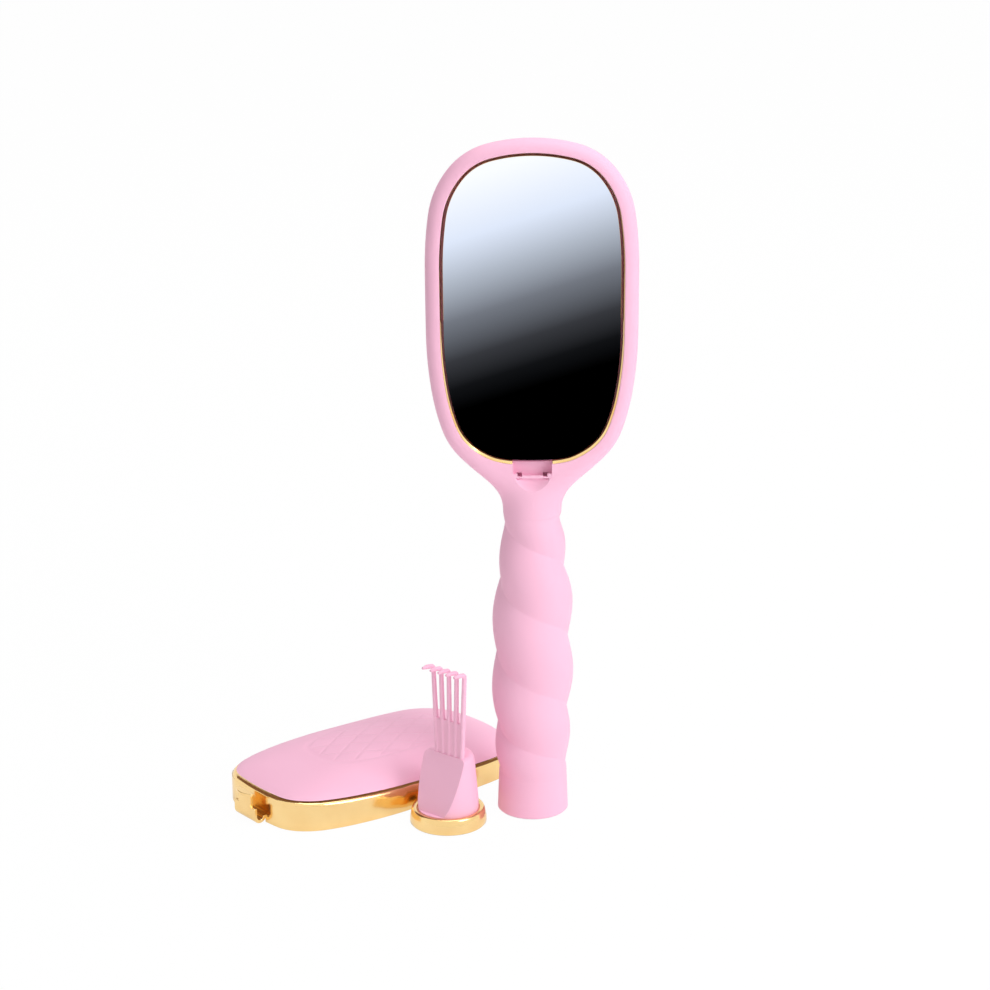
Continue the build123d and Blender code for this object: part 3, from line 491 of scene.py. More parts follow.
# ------------------------------------------------------------------ grip
# The handle's left-handed rope: two round strands twisted about each other between a plain foot
# and the neck, moulded in one piece with the paint of the head.
ROPE = {                    # metres and degrees; the same rule as the handle's solid
    "Foot Height": 0.0132,
    "Grip Height": 0.108,
    "Ankle Radius": 0.01165,
    "Belly Radius": 0.0143,
    "Belly Height": 0.050,
    "Neck Radius": 0.0098,
    "Waist Taper": 3.6,
    "Strand Offset": 0.0019,
    "Half Turns": 4.5,
    "Crowding": 0.27,
    "Tilt": 13.0,
    "Crease Softness": 0.035,
}
ROPE_ROUND = 192            # faces round the rope and along it
ROPE_ALONG = 420
FOOT_RADIUS = 0.01215
FOOT_EDGE = 0.0004
FOOT_UNDERSIDE = (          # radius and height, round the foot's edge and up the claw's bore
    (FOOT_RADIUS, FOOT_EDGE), (FOOT_RADIUS - FOOT_EDGE, 0.0),
    (0.0108, 0.0), (0.0106, 0.0002), (0.0106, 0.060),
)


def open_tree(name, values):
    """Geometry Nodes tree that makes a mesh from named numbers, and the sockets of those numbers."""
    tree = bpy.data.node_groups.new(name, "GeometryNodeTree")
    for label, value in values.items():
        tree.interface.new_socket(label, in_out="INPUT", socket_type="NodeSocketFloat").default_value = value
    tree.interface.new_socket("Geometry", in_out="OUTPUT", socket_type="NodeSocketGeometry")
    return tree, tree.nodes.new("NodeGroupInput").outputs


def closed_tree(tree, geometry, material):
    """The tree, handing out the mesh of its last node with a material on it."""
    finished = add_node(tree, "GeometryNodeSetMaterial", {
        "Geometry": geometry.outputs[0], "Material": material})
    add_node(tree, "NodeGroupOutput", {0: finished.outputs[0]})
    return tree


def rope_nodes():
    """Geometry Nodes: a sheet rolled into the twist, its ends fading into plain round sections."""
    tree, given = open_tree("rope_twist", ROPE)
    calc = partial(worked, tree)
    sheet = add_node(tree, "GeometryNodeMeshGrid", {
        "Size X": 1.0, "Size Y": 2.0, "Vertices X": ROPE_ROUND + 1, "Vertices Y": ROPE_ALONG + 1})
    across, share, _ = add_node(tree, "ShaderNodeSeparateXYZ", {
        0: add_node(tree, "GeometryNodeInputPosition").outputs[0]}).outputs
    angle = calc("MULTIPLY", across, 2 * pi)
    # height of each section, with its turns crowded towards both ends
    total = calc("ADD", given["Foot Height"], given["Grip Height"])
    middle = calc("MULTIPLY", total, 0.5)
    half = calc("SUBTRACT", given["Grip Height"], middle)
    crowded = calc("MULTIPLY", given["Crowding"], calc("SUBTRACT", 1.0, calc("POWER", share, 2.0)))
    stretch = calc("MULTIPLY", share, calc("ADD", 1.0, crowded))
    height = calc("MULTIPLY_ADD", stretch, half, middle)
    # radius over the strands: a belly that narrows towards the foot and the neck
    under = calc("SUBTRACT", given["Belly Height"], height)
    below = calc("DIVIDE", under, calc("SUBTRACT", given["Belly Height"], given["Foot Height"]))
    below = calc("POWER", calc("MAXIMUM", below, 0.0), 2.0)
    over = calc("SUBTRACT", height, given["Belly Height"])
    above = calc("DIVIDE", over, calc("SUBTRACT", given["Grip Height"], given["Belly Height"]))
    above = calc("POWER", calc("MAXIMUM", above, 0.0), given["Waist Taper"])
    above = calc("SUBTRACT", 1.0, calc("POWER", calc("SUBTRACT", 1.0, above), 2.0))
    low_loss = calc("MULTIPLY", calc("SUBTRACT", given["Belly Radius"], given["Ankle Radius"]), below)
    high_loss = calc("MULTIPLY", calc("SUBTRACT", given["Belly Radius"], given["Neck Radius"]), above)
    radius = calc("SUBTRACT", calc("SUBTRACT", given["Belly Radius"], low_loss), high_loss)
    # distance from the axis to the outside of the two strands
    fade = calc("SUBTRACT", 1.0, calc("POWER", calc("ABSOLUTE", share), 4.0))
    offset = calc("MULTIPLY", given["Strand Offset"], fade)
    strand = calc("SUBTRACT", radius, offset)
    rise = calc("SINE", angle)
    eased = calc("SQRT", calc("MULTIPLY_ADD", rise, rise, calc("POWER", given["Crease Softness"], 2.0)))
    side = calc("MULTIPLY", offset, calc("COSINE", angle))
    chord = calc("SUBTRACT", calc("POWER", strand, 2.0), calc("POWER", side, 2.0))
    reach = calc("MULTIPLY_ADD", offset, eased, calc("SQRT", chord))
    # turned to the left on the way up, and leaning
    turn = calc("MULTIPLY", calc("MULTIPLY", given["Half Turns"], share), -pi / 2)
    way = calc("ADD", angle, turn)
    flat_x = calc("MULTIPLY", reach, calc("COSINE", way))
    lean = calc("MULTIPLY", calc("RADIANS", given["Tilt"]), fade)
    place = add_node(tree, "ShaderNodeCombineXYZ", {
        "X": calc("MULTIPLY", flat_x, calc("COSINE", lean)),
        "Y": calc("MULTIPLY", reach, calc("SINE", way)),
        "Z": calc("MULTIPLY_ADD", flat_x, calc("SINE", lean), height)})
    rolled = add_node(tree, "GeometryNodeSetPosition", {
        "Geometry": sheet.outputs["Mesh"], "Position": place.outputs[0]})
    closed = add_node(tree, "GeometryNodeMergeByDistance", {
        "Geometry": rolled.outputs[0], "Distance": WELD})
    return closed_tree(tree, closed, paint)


def grown(name, tree):
    """Plain mesh of what a Geometry Nodes tree makes."""
    seed = linked(name + "_seed", bpy.data.meshes.new(name + "_seed"))
    seed.modifiers.new("growth", "NODES").node_group = tree
    bpy.context.view_layer.update()
    ready = seed.evaluated_get(bpy.context.evaluated_depsgraph_get())
    mesh = bpy.data.meshes.new_from_object(ready)
    mesh.name = name
    bpy.data.objects.remove(seed)
    return mesh


def smoothed(piece, sharp_angle):
    """Shades a piece smoothly, but not across edges that are sharper than an angle in degrees."""
    piece.data.shade_smooth()
    piece.data.set_sharp_from_angle(angle=radians(sharp_angle))
    return piece


def close_grip(form):
    """Adds the plain foot, its underside, the claw's bore and the neck end to the open twist."""
    rims = [edge for edge in form.edges if edge.is_boundary]
    low = [edge for edge in rims if edge.verts[0].co.z < ROPE["Belly Height"]]
    high = [edge for edge in rims if edge.verts[0].co.z > ROPE["Belly Height"]]
    bmesh.ops.edgeloop_fill(form, edges=high)
    for radius, height in FOOT_UNDERSIDE:
        ring = bmesh.ops.extrude_edge_only(form, edges=low)["geom"]
        low = [part for part in ring if isinstance(part, bmesh.types.BMEdge)]
        for vertex in {vertex for edge in low for vertex in edge.verts}:
            flat = Vector((vertex.co.x, vertex.co.y)).normalized() * radius
            vertex.co = (flat.x, flat.y, height)
    bmesh.ops.edgeloop_fill(form, edges=low)


grip_form = bmesh.new()
grip_form.from_mesh(grown("rope_grip", rope_nodes()))
close_grip(grip_form)
grip = smoothed(new_piece("rope_grip", grip_form), 40)
seated(grip, paint, "soft_touch_pink", "brush", "grip")

# ------------------------------------------------------------------ mirror
# Silvered float glass with a ground edge, bonded on a foam pad, inside a thin plated liner that
# lines the outer wall of the groove for the cover's rim.
MIRROR_SILVER = "#f6f8fb"
GOLD_BRIGHT = "#ffe0a2"
GOLD_DEEP = "#f3c985"
GOLD_PEEL_MM = 1.6          # faint orange peel of the plating
GOLD_CLOUD_MM = 9.0
LINER_PROFILE = (           # border and depth, from the lip inwards and back along the shell's wall
    (0.00478, -0.0088), (0.00503, -0.0083), (0.00505, -0.0019), (0.00478, -0.0019),
)
LIP_WIDER = 0.00055         # what the lip gains at the foot of the mirror
LIP_FLATTER = 0.0002        # and how much flatter it lies there
LINER_GAP = 0.0066          # half of its opening for the latch
GLASS_EDGE = ((0.00586, -0.0056), (0.00586, -0.0075), (0.00593, -0.0076))  # border and depth


def silvered_glass(name):
    """Silver behind float glass: nearly perfect reflection, a touch cool."""
    material, _ = bare_material(name)
    return shaded(material, {"Base Color": linear(MIRROR_SILVER), "Metallic": 1.0, "Roughness": 0.015})


def gold_plating(name):
    """Bright gold-tone electroplating on a moulded part: near-mirror, with a faint orange peel."""
    material, tree = bare_material(name)
    return shaded(material, {
        "Base Color": tinted(tree, speckle(tree, GOLD_CLOUD_MM), GOLD_DEEP, GOLD_BRIGHT),
        "Normal": bumped(tree, speckle(tree, GOLD_PEEL_MM, 1.0), 0.12, 0.00005),
        "Metallic": 1.0, "Roughness": 0.17})


gold = gold_plating("gold_tone_electroplating")

glass_form = bmesh.new()
glass_rows = []
for inset, y in GLASS_EDGE:
    border = mirror_loop(inset, FINE_SPACING)
    glass_rows.append([glass_form.verts.new((spot.x, y, spot.y)) for spot in border])
# the glass's edge takes a second, dark material, added below: painted shade
for band in laced(glass_form, glass_rows):
    for face in band:
        face.material_index = 1
for row in (glass_rows[0], glass_rows[-1]):
    glass_form.faces.new(row)
glass = new_piece("mirror_glass_ground", glass_form)
seated(glass, silvered_glass("silvered_float_glass"), "mirror", "brush", "mirror_glass")
glass.data.materials.append(painted_shade_dark("painted_shade_on_glass_edge"))


def plated_liner():
    """Thin liner of the groove's outer wall with a sloped lip, open where the latch comes through."""
    form = bmesh.new()
    loops = [mirror_loop(inset, FINE_SPACING) for inset, _ in LINER_PROFILE]
    kept = [i for i, spot in enumerate(loops[0]) if abs(spot.x) > LINER_GAP or spot.y > HEAD_LINE]
    rows = []
    for loop, (_, y) in zip(loops, LINER_PROFILE):
        rows.append([form.verts.new((loop[i].x, y, loop[i].y)) for i in kept])
    for i, vertex in zip(kept, rows[1]):
        inward = (loops[1][i] - loops[0][i]).normalized()
        foot = max(0.0, inward.y) ** 0.5
        vertex.co += Vector((inward.x * LIP_WIDER, LIP_FLATTER, inward.y * LIP_WIDER)) * foot
    laced(form, rows + rows[:1], closed=False)
    form.faces.new([row[0] for row in rows])
    form.faces.new([row[-1] for row in rows])
    return new_piece("plated_groove_liner", form)


liner = smoothed(plated_liner(), 30)
seated(liner, gold, "gold_plate", "brush", "mirror_bezel")

# ------------------------------------------------------------------ cushion and pins
# The bristle side: a rubber air cushion held by a pink ring, with nylon pins pushed through it.
# Each pin is a slim cone with a ball tip; the cushion swells between the ring and the pins.
CUSHION_INSET = 0.0107
CUSHION_FOOT_Y = 0.0051
CUSHION_SWELL = 0.0084
CUSHION_RINGS = 14
RING_EDGE_MM = 0.3
RUBBER_PINK = "#f6bcd4"
PIN_PINK = "#ffc9e0"
RUBBER_SKIN_MM = 1.2
PIN_FLOW_MM = 2.5
PIN = {"Root Radius": 0.00075, "Tip Radius": 0.00042, "Ball Radius": 0.00072, "Reach": 0.0166}
PIN_ROUND = 14
PIN_FOOT_Y = 0.0118


def crowned(form, rings, inset, lift):
    """Adds a crown over the head's outline, of shrinking copies of it whose points lift places."""
    outline = oval_loop(inset)
    loops = []
    for step in range(rings):
        share = 1 - step / rings
        flat = [(spot.x * share, (spot.y - HEAD_LINE) * share) for spot in outline]
        loops.append([form.verts.new(lift(*spot, share)) for spot in flat])
    tip = form.verts.new(lift(0, 0, 0))
    laced(form, loops)
    for i in range(len(outline)):
        form.faces.new((loops[-1][i - 1], loops[-1][i], tip))
    return loops[0]


def cushion_rubber(name):
    """Moulded rubber: matt, with a barely uneven skin."""
    material, tree = bare_material(name)
    return shaded(material, {
        "Base Color": linear(RUBBER_PINK), "Roughness": 0.5,
        "Normal": bumped(tree, speckle(tree, RUBBER_SKIN_MM), 0.15, 0.0001)})


def pin_nylon(name):
    """Moulded nylon with a satin skin that lets a little light in."""
    material, tree = bare_material(name)
    return shaded(material, {
        "Base Color": linear(PIN_PINK), "Roughness": spread(tree, speckle(tree, PIN_FLOW_MM, 1.0), 0.3, 0.42),
        "Subsurface Weight": 0.15, "Subsurface Radius": (0.002, 0.001, 0.001), "Subsurface Scale": 0.5})


def cushion_spot(across, along, share):
    """Place of a point of the cushion's crown."""
    swell = CUSHION_SWELL * (1 - share**5) ** 0.5
    return across, CUSHION_FOOT_Y + swell, HEAD_LINE + along


cushion_form = bmesh.new()
cushion_form.faces.new(crowned(cushion_form, CUSHION_RINGS, CUSHION_INSET, cushion_spot))
cushion = smoothed(new_piece("air_cushion_pad", cushion_form), 60)
seated(cushion, cushion_rubber("moulded_rubber"), "cushion_rubber", "brush", "air_cushion")
retaining_ring = finished_copy("cushion_ring", "cushion_retaining_ring", RING_EDGE_MM)
seated(retaining_ring, paint, "soft_touch_pink", "brush", "cushion_ring")


def pin_roots():
    """Foot of each pin on its own axis, read from the solids that stand for the pins."""
    form = bmesh.new()
    form.from_mesh(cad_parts["bristle_pins"].data)
    bmesh.ops.remove_doubles(form, verts=form.verts, dist=WELD)
    left = set(form.verts)
    roots = []
    while left:
        grown_by = [left.pop()]
        pin = []
        while grown_by:
            vertex = grown_by.pop()
            pin.append(vertex.co.copy())
            near = {edge.other_vert(vertex) for edge in vertex.link_edges} & left
            left -= near
            grown_by += near
        roots.append((sum(co.x for co in pin) / len(pin), PIN_FOOT_Y, sum(co.z for co in pin) / len(pin)))
    form.free()
    return sorted(roots)


def pin_nodes(field):
    """Geometry Nodes: ball-tipped cones on the points of a field, all facing away from the cushion."""
    tree, given = open_tree("pin_field", PIN)
    shaft = add_node(tree, "GeometryNodeMeshCone", {
        "Vertices": PIN_ROUND, "Side Segments": 2, "Radius Top": given["Tip Radius"],
        "Radius Bottom": given["Root Radius"], "Depth": given["Reach"]})
    ball = add_node(tree, "GeometryNodeMeshUVSphere", {
        "Segments": PIN_ROUND, "Rings": 9, "Radius": given["Ball Radius"]})
    top = add_node(tree, "ShaderNodeCombineXYZ", {"Z": given["Reach"]})
    lifted = add_node(tree, "GeometryNodeTransform", {
        "Geometry": ball.outputs[0], "Translation": top.outputs[0]})
    pin = add_node(tree, "GeometryNodeJoinGeometry")
    tree.links.new(shaft.outputs["Mesh"], pin.inputs[0])
    tree.links.new(lifted.outputs[0], pin.inputs[0])
    smooth = add_node(tree, "GeometryNodeSetShadeSmooth", {"Geometry": pin.outputs[0]})
    spots = add_node(tree, "GeometryNodeObjectInfo", {"Object": field})
    stood = add_node(tree, "GeometryNodeInstanceOnPoints", {
        "Points": spots.outputs["Geometry"], "Instance": smooth.outputs[0], "Rotation": (-pi / 2, 0, 0)})
    real = add_node(tree, "GeometryNodeRealizeInstances", {0: stood.outputs[0]})
    return closed_tree(tree, real, pin_nylon("moulded_nylon"))


field_mesh = bpy.data.meshes.new("pin_spots")
field_mesh.from_pydata(pin_roots(), [], [])
field = linked("pin_spots", field_mesh)
pin_mesh = grown("ball_tipped_pins", pin_nodes(field))
bpy.data.objects.remove(field)
pins = linked("ball_tipped_pins", pin_mesh)
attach(pins, "brush")
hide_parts("bristle_pins")

# ------------------------------------------------------------------ cover
# The mirror's cover, lying dome up: a plated rim with a bevelled upper edge and a spring latch, and
# a painted dome with a fine moulded lattice in its middle.
COVER_PLACE = (-0.044813, 0.033003)
COVER_TURN = 38.6           # degrees; the cover's length against the X axis
CREST_HEIGHT = 0.00865      # of the rim's upper face at the widest line
CREST_SLOPE = 0.0327        # its climb towards the latch
DOME_INSET = 0.00683
DOME_RISE = 0.0076
DOME_WALL = 0.0016
DOME_SINK = 0.0002
DOME_RINGS = 40
DOME_POWERS = (2.2, 0.8)    # how evenly the dome rises from its edge
LATTICE_PITCH = 0.0078
LATTICE_LINE = 0.0011
LATTICE_DEPTH = 0.00016
LATTICE_SLANT = 0.6
LATTICE_HALF = (0.0145, 0.027)  # across and along
LATTICE_ALONG = -0.012      # middle of the panel along the cover
PANEL_POWER = 3.0           # roundness of the panel's corners
RIM_EDGE_MM = 0.18


def cover_matrix():
    """The cover's own frame: x across, y along from latch to far end, z up out of its upper face."""
    turn = radians(COVER_TURN)
    slope = Vector((0, CREST_SLOPE, 1)).normalized()
    tilt = Matrix((Vector((1, 0, 0)), Vector((0, slope.z, -slope.y)), slope)).transposed().to_4x4()
    lying = Matrix.Translation((*COVER_PLACE, CREST_HEIGHT)) @ Matrix.Rotation(turn - pi / 2, 4, "Z")
    return lying @ tilt


def lattice_relief(tree):
    """Height of the dome's lattice: fine grooves crossing both ways, in a rounded panel with a border."""
    calc = partial(worked, tree)
    back = cover_matrix().inverted()
    local = add_node(tree, "ShaderNodeMapping", {
        "Vector": add_node(tree, "ShaderNodeTexCoord").outputs["Object"],
        "Location": back.to_translation(), "Rotation": back.to_euler()})
    across, lengthwise, _ = add_node(tree, "ShaderNodeSeparateXYZ", {0: local.outputs[0]}).outputs
    along = calc("SUBTRACT", lengthwise, LATTICE_ALONG)
    lines = []
    for slant in (LATTICE_SLANT, -LATTICE_SLANT):
        lines.append(calc("PINGPONG", calc("MULTIPLY_ADD", along, slant, across), LATTICE_PITCH / 2))
    shares = []
    for way, half in zip((across, along), LATTICE_HALF):
        shares.append(calc("POWER", calc("ABSOLUTE", calc("DIVIDE", way, half)), PANEL_POWER))
    panel = calc("POWER", calc("ADD", *shares), 1 / PANEL_POWER)
    border = calc("ABSOLUTE", calc("MULTIPLY", calc("SUBTRACT", panel, 1.0), LATTICE_HALF[0]))
    inner = calc("ADD", calc("MINIMUM", *lines), calc("GREATER_THAN", panel, 1.0))
    groove = add_node(tree, "ShaderNodeMapRange", {
        "Value": calc("MINIMUM", inner, border), "From Min": 0.0, "From Max": LATTICE_LINE,
        "To Min": -LATTICE_DEPTH, "To Max": 0.0}, {"interpolation_type": "SMOOTHSTEP"})
    return groove.outputs[0]


def dome_spot(across, along, share, rise=DOME_RISE, sink=0.0):
    """Place of a point of the dome, or of the hollow below it, in the cover's own frame."""
    return across, along, rise * (1 - share ** DOME_POWERS[0]) ** DOME_POWERS[1] - sink


dome_form = bmesh.new()
hollow_spot = partial(dome_spot, rise=DOME_RISE - DOME_WALL, sink=DOME_SINK)
over = crowned(dome_form, DOME_RINGS, DOME_INSET, dome_spot)
under = crowned(dome_form, DOME_RINGS, DOME_INSET + DOME_WALL, hollow_spot)
laced(dome_form, [over, under])
dome = smoothed(new_piece("cover_dome_painted", dome_form, cover_matrix()), 60)
dome_paint = soft_touch_paint("soft_touch_paint_on_dome", lattice_relief)
seated(dome, dome_paint, "soft_touch_pink", "cover", "cover_dome")
for node, name, body in (
        ("cover_rim", "cover_rim_plated", "cover"), ("latch_finger", "latch_finger_plated", "latch")):
    seated(finished_copy(node, name, RIM_EDGE_MM), gold, "gold_plate", body, node)

# ------------------------------------------------------------------ claw
# The cleaning claw: a plated ring with a rolled top edge, a painted plug cut back by a slanted flat,
# and a moulded comb of five slim tines that hook over at their tips.
CLAW_PLACE = (-0.0292, -0.0122)
CLAW_TURN = -130.0          # degrees; the way the slanted face and the hooks point
CLAW_ROUND = 96             # faces round the ring and the plug
CLAW_RING_PROFILE = (       # radius and height, from the floor up and over into the cup
    (0.0128, 0.0), (0.01315, 0.0004), (0.01315, 0.0018), (0.01255, 0.0048), (0.01235, 0.0052),
    (0.0120, 0.0054), (0.0110, 0.0054), (0.01065, 0.0052), (0.0105, 0.0048),
)
PLUG_PROFILE = (            # the same, up the plug and over its rounded shoulder
    (0.0104, 0.0016), (0.0104, 0.0084), (0.0098, 0.0156), (0.0092, 0.0228), (0.00905, 0.0236),
    (0.0088, 0.0242), (0.0083, 0.0247), (0.0077, 0.02492), (0.0070, 0.0250),
)
FLAT_LINE = ((0.0088, 0.0054), (0.0014, 0.0250))  # foot and top of the slanted flat, from the axis and up
PLUG_EDGE_MM = 0.4
PLUG_SHARP = 30             # degrees; sharper edges of the plug are rounded
CUTTER_REACH = 0.02
CUTTER_OVER = 0.002
TINES = 5
TINE_ROOT_PITCH = 0.0027
TINE_TOP_PITCH = 0.00348
TINE_RADIUS = 0.00086
TINE_ROUND = 12
TINE_FULLNESS = (1.1, 0.92, 0.9, 0.92, 0.5)  # radii at root, knee, bend, half the hook and tip
TIP_BREAK = 0.25            # of the radius
COMB_OFFSET = 0.0004
COMB_SIDESTEP = 0.0013
COMB_FOOT = 0.020
COMB_HEIGHT = 0.0561
HOOK_REACH = 0.0051
HOOK_RISE = 0.0003
HOOK_BEND = 0.0012
HOOK_MIDDLE = 0.65          # share of the hook's reach
HOOK_OVER = 0.0004
WEB_FROM = 0.0245
WEB_TO = 0.0378
WEB_HALF = 0.00055
WEB_SINK = 0.004            # how far the web runs down into the plug
WEB_SADDLE = 0.0005


def claw_matrix():
    """The claw's own frame: z up its axis, x the way that the flat and the hooks point."""
    return Matrix.Translation((*CLAW_PLACE, 0)) @ Matrix.Rotation(radians(CLAW_TURN), 4, "Z")


def spun(profile):
    """Closed form turned about Z from a half profile that ends off the axis at both ends."""
    form = bmesh.new()
    angles = [2 * pi * i / CLAW_ROUND for i in range(CLAW_ROUND)]
    rings = []
    for radius, height in profile:
        rings.append([form.verts.new((radius * cos(a), radius * sin(a), height)) for a in angles])
    laced(form, rings)
    form.faces.new(rings[0])
    form.faces.new(rings[-1])
    return form


ring = smoothed(new_piece("claw_ring_plated", spun(CLAW_RING_PROFILE), claw_matrix()), 50)
seated(ring, gold, "gold_plate", "claw", "claw_ring")


def flat_cutter():
    """Wedge that leaves the plug's slanted flat above the ring."""
    (foot, low), (top, high) = FLAT_LINE
    over = high + CUTTER_OVER
    beyond = top + (top - foot) * (over - high) / (high - low)
    outline = ((foot, low), (beyond, over), (CUTTER_REACH, over), (CUTTER_REACH, low))
    form = bmesh.new()
    walls = [[form.verts.new((x, y, z)) for x, z in outline] for y in (-CUTTER_REACH, CUTTER_REACH)]
    for wall in walls:
        form.faces.new(wall)
    laced(form, walls)
    return new_piece("flat_cutter", form, claw_matrix())


plug_blank = new_piece("claw_plug_painted", spun(PLUG_PROFILE), claw_matrix())
plug = soften(carved(plug_blank, flat_cutter()), PLUG_EDGE_MM, PLUG_SHARP)
seated(plug, paint, "soft_touch_pink", "claw", "claw_plug")


def tine_path(index):
    """Line of a tine from the plug up and over its hook, with its fullness at each point."""
    root, knee_width, bend, middle, tip = TINE_FULLNESS
    step = index - (TINES - 1) / 2
    low = COMB_SIDESTEP + step * TINE_ROOT_PITCH
    high = COMB_SIDESTEP + step * TINE_TOP_PITCH
    knee = COMB_HEIGHT - HOOK_BEND
    lean = (high - low) / (COMB_HEIGHT - WEB_FROM)
    path = [(COMB_OFFSET, low, COMB_FOOT, root), (COMB_OFFSET, low, WEB_FROM, root)]
    path.append((COMB_OFFSET, low + lean * (knee - WEB_FROM), knee, knee_width))
    for turn in (22.5, 45, 67.5, 90):
        swing = radians(turn)
        out = COMB_OFFSET + HOOK_BEND * (1 - cos(swing))
        path.append((out, high, knee + HOOK_BEND * sin(swing) - TINE_RADIUS / 4, bend))
    out, up = HOOK_REACH * HOOK_MIDDLE, HOOK_RISE * HOOK_MIDDLE
    path.append((COMB_OFFSET + out, high, COMB_HEIGHT + up, middle))
    path.append((COMB_OFFSET + HOOK_REACH + HOOK_OVER, high, COMB_HEIGHT + HOOK_RISE, tip))
    return path


def add_tube(form, path):
    """Tube of changing radius along a path, its far end broken."""
    spots = [Vector(point[:3]) for point in path]
    rings = []
    for i, (spot, point) in enumerate(zip(spots, path)):
        way = (spots[min(i + 1, len(spots) - 1)] - spots[max(i - 1, 0)]).normalized()
        side = Vector((0, 1, 0)).cross(way).normalized()
        other = way.cross(side)
        radius = TINE_RADIUS * point[3]
        ring = []
        for k in range(TINE_ROUND):
            angle = 2 * pi * k / TINE_ROUND
            ring.append(form.verts.new(spot + side * cos(angle) * radius + other * sin(angle) * radius))
        rings.append(ring)
    laced(form, rings)
    form.faces.new(rings[0])
    end, size = form.faces.new(rings[-1]), TINE_RADIUS * TIP_BREAK
    bmesh.ops.inset_individual(form, faces=[end], thickness=size, depth=size)


comb_form = bmesh.new()
for index in range(TINES):
    add_tube(comb_form, tine_path(index))
for index in range(TINES - 1):
    lows, highs = [], []
    for path in (tine_path(index), tine_path(index + 1)):
        root, knee = Vector(path[1][:3]), Vector(path[2][:3])
        lows.append(root - Vector((0, 0, WEB_SINK)))
        highs.append(root.lerp(knee, (WEB_TO - WEB_FROM) / (path[2][2] - WEB_FROM)))
    saddle = (highs[0] + highs[1]) / 2 - Vector((0, 0, WEB_SADDLE))
    faces = []
    for side in (-1, 1):
        thick = Vector((side * WEB_HALF, 0, 0))
        outline = (lows[0], lows[1], highs[1], saddle, highs[0])
        faces.append([comb_form.verts.new(spot + thick) for spot in outline])
        comb_form.faces.new(faces[-1])
    laced(comb_form, faces)
comb = smoothed(new_piece("claw_comb_moulded", comb_form, claw_matrix()), 50)
seated(comb, paint, "pink_pin", "claw", "claw_comb")

# ------------------------------------------------------------------ floor, cards and lamps
# A pale sweep under an even overhead light. Glowing cards that only reflections see stand where the mirror
# and the plating look: painted reflections, graded on the mirror and dark brown on the plating.
FLOOR_WHITE = "#ffffff"
CAMERA_PLACE = (-0.01251, -0.97644, 0.43474)
CAMERA_PITCH = 18.206       # degrees down
CAMERA_ROLL = -0.35         # degrees, about the line of sight
LENS_MM = 111.27
FLOOR_SEEN = 0.97           # how plain white the paper looks, to the eye and in reflections
FLOOR_MIRRORED = 0.6
WORLD_LIGHT = 0.58
CARD_GLOW = 1.08
# brown of a glowing card that only reflections see: painted reflection on the plating
REFLECTION_BROWN = "#7c5d4b"
FLOCK_GREY = "#5c5c5c"
CARD_TILT = 0.33            # how steeply the card's shades climb across the mirror
CARD_SHADES = (             # height on the mirror in metres, shade seen there
    (0.152, "#000000"),
    (0.1600, "#111214"),
    (0.1696, "#37383c"),
    (0.1831, "#73777f"),
    (0.1965, "#b2b9c4"),
    (0.2098, "#e0e8f7"),
    (0.2295, "#fcfdff"),
)


def flat_card(name, size, place, material, turn=(0, 0, 0), unseen_by=()):
    """Flat rectangle of the stage, kept out of sight of some kinds of rays."""
    mesh = bpy.data.meshes.new(name)
    half_w, half_d = size[0] / 2, size[1] / 2
    corners = [(-half_w, -half_d, 0), (half_w, -half_d, 0), (half_w, half_d, 0), (-half_w, half_d, 0)]
    mesh.from_pydata(corners, [], [(0, 1, 2, 3)])
    card = linked(name, mesh)
    card.location = place
    card.rotation_euler = turn
    card.data.materials.append(material)
    for ray in unseen_by:
        setattr(card, "visible_" + ray, False)


def floor_paper(name):
    """White paper that looks plain white but keeps a faint share of the object's shadow."""
    material, tree = bare_material(name)
    paper = add_node(tree, "ShaderNodeBsdfDiffuse", {"Color": linear(FLOOR_WHITE)})
    glow = add_node(tree, "ShaderNodeEmission", {"Color": linear(FLOOR_WHITE), "Strength": 1.0})
    path = add_node(tree, "ShaderNodeLightPath").outputs
    mirrored = worked(tree, "MAXIMUM", path["Is Glossy Ray"], path["Is Transmission Ray"])
    faint = worked(tree, "MULTIPLY", mirrored, FLOOR_MIRRORED)
    share = worked(tree, "MULTIPLY_ADD", path["Is Camera Ray"], FLOOR_SEEN, faint)
    return shaded(material, {0: share, 1: paper.outputs[0], 2: glow.outputs[0]}, "ShaderNodeMixShader")


def graded_reflection_glow(name):
    """Glowing card whose shades run from black to white, laid out by where the mirror shows each spot of it:
    a painted reflection.
    """
    material, tree = bare_material(name)
    calc = partial(worked, tree)
    glass_y, camera_y = GLASS_EDGE[-1][1], CAMERA_PLACE[1]
    x, y, _ = add_node(tree, "ShaderNodeSeparateXYZ", {
        0: add_node(tree, "ShaderNodeNewGeometry").outputs["Position"]}).outputs
    reach = calc("MULTIPLY_ADD", y, 1 / camera_y, -glass_y / camera_y)
    spread_out = calc("ADD", reach, 1.0)
    level = calc("MULTIPLY", calc("DIVIDE", reach, spread_out), CAMERA_PLACE[2])
    across = calc("DIVIDE", calc("MULTIPLY_ADD", reach, CAMERA_PLACE[0], x), spread_out)
    slant = calc("MULTIPLY_ADD", across, -CARD_TILT, level)
    low, high = CARD_SHADES[0][0], CARD_SHADES[-1][0]
    span = add_node(tree, "ShaderNodeMapRange", {"Value": slant, "From Min": low, "From Max": high})
    ramp = add_node(tree, "ShaderNodeValToRGB", {0: span.outputs[0]})
    stops = ramp.color_ramp.elements
    while len(stops) < len(CARD_SHADES):
        stops.new(0.5)
    for stop, (at, shade) in zip(stops, CARD_SHADES):
        stop.position = (at - low) / (high - low)
    for stop, (at, shade) in zip(stops, CARD_SHADES):
        stop.color = linear(shade)
    return shaded(material, {"Color": ramp.outputs[0], "Strength": CARD_GLOW}, "ShaderNodeEmission")


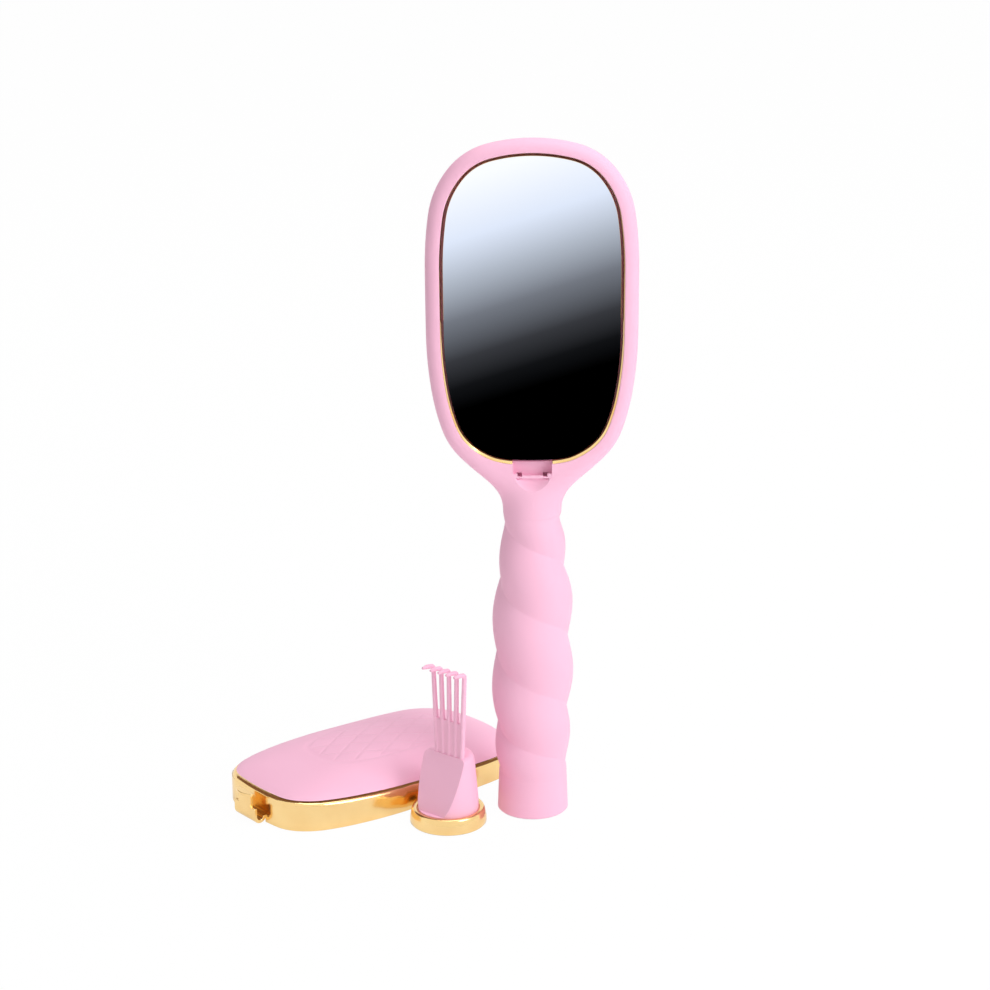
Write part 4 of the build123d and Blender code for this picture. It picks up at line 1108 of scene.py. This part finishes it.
def brown_reflection_glow(name):
    """Brown glow that only reflections see: a painted reflection, dark brown on the plating's bevel."""
    material, _ = bare_material(name)
    return shaded(material, {"Color": linear(REFLECTION_BROWN), "Strength": 1.0}, "ShaderNodeEmission")


def grey_flock(name):
    """Dark grey flock: swallows most of the light that would fill the shaded side."""
    material, _ = bare_material(name)
    return shaded(material, {"Color": linear(FLOCK_GREY)}, "ShaderNodeBsdfDiffuse")


ONLY_REFLECTED = ("camera", "diffuse", "shadow", "transmission")
ONLY_DIFFUSE = ("camera", "glossy", "shadow", "transmission")
flat_card("floor", (6.0, 6.0), (0, 0, 0), floor_paper("white_paper_sweep"))
# painted reflection: a glowing graded card, seen only in reflections, gives the mirror its shades
flat_card("graded_card", (1.2, 1.3), (0, -0.97, 0.001), graded_reflection_glow("painted_reflection_graded_glow"),
          unseen_by=ONLY_REFLECTED)
# painted reflection: a glowing brown card, seen only in reflections, darkens the plating's bevel
flat_card("overhead_card", (3.3, 1.2), (-0.55, 0.68, 0.8), brown_reflection_glow("painted_reflection_brown_glow"),
          unseen_by=ONLY_REFLECTED)
flat_card("grey_flag", (0.30, 1.0), (-0.4, 0.0, 0.29), grey_flock("grey_flock_flag"), (0, pi / 2, 0),
          unseen_by=ONLY_DIFFUSE)


def studio_world():
    """Even white surroundings: plain white to the eye and in reflections, a softer level as light."""
    world = bpy.data.worlds.new("white_studio")
    world.use_nodes = True
    tree = world.node_tree
    tree.nodes.clear()
    path = add_node(tree, "ShaderNodeLightPath").outputs
    either = worked(tree, "MAXIMUM", path["Is Camera Ray"], path["Is Glossy Ray"])
    seen = worked(tree, "MAXIMUM", either, path["Is Transmission Ray"])
    levels = []
    for level in (WORLD_LIGHT, 1.0):
        light = add_node(tree, "ShaderNodeBackground", {"Color": linear(FLOOR_WHITE), "Strength": level})
        levels.append(light.outputs[0])
    mixed = add_node(tree, "ShaderNodeMixShader", {0: seen, 1: levels[0], 2: levels[1]})
    add_node(tree, "ShaderNodeOutputWorld", {"Surface": mixed.outputs[0]})
    bpy.context.scene.world = world


studio_world()


def soft_lamp(name, place, target, size, watts):
    """Square softbox that faces a point."""
    lamp = bpy.data.lights.new(name, "AREA")
    lamp.shape = "SQUARE"
    lamp.size = size
    lamp.energy = watts
    holder = linked(name, lamp)
    holder.location = place
    holder.rotation_euler = (Vector(target) - Vector(place)).to_track_quat("-Z", "Y").to_euler()


soft_lamp("key_softbox", (1.15, -0.95, 0.9), (0, 0, 0.1), 0.8, 11.0)
soft_lamp("top_softbox", (0.15, 0.1, 1.4), (0, 0, 0), 1.0, 8.0)

eye = bpy.data.cameras.new("camera")
eye.sensor_width = 36.0
eye.lens = LENS_MM
eye.clip_start = 0.01
camera = linked("camera", eye)
aimed = Matrix.Rotation(radians(90 - CAMERA_PITCH), 4, "X") @ Matrix.Rotation(radians(CAMERA_ROLL), 4, "Z")
camera.matrix_world = Matrix.Translation(CAMERA_PLACE) @ aimed
bpy.context.scene.camera = camera
bpy.context.scene.view_settings.view_transform = "Standard"
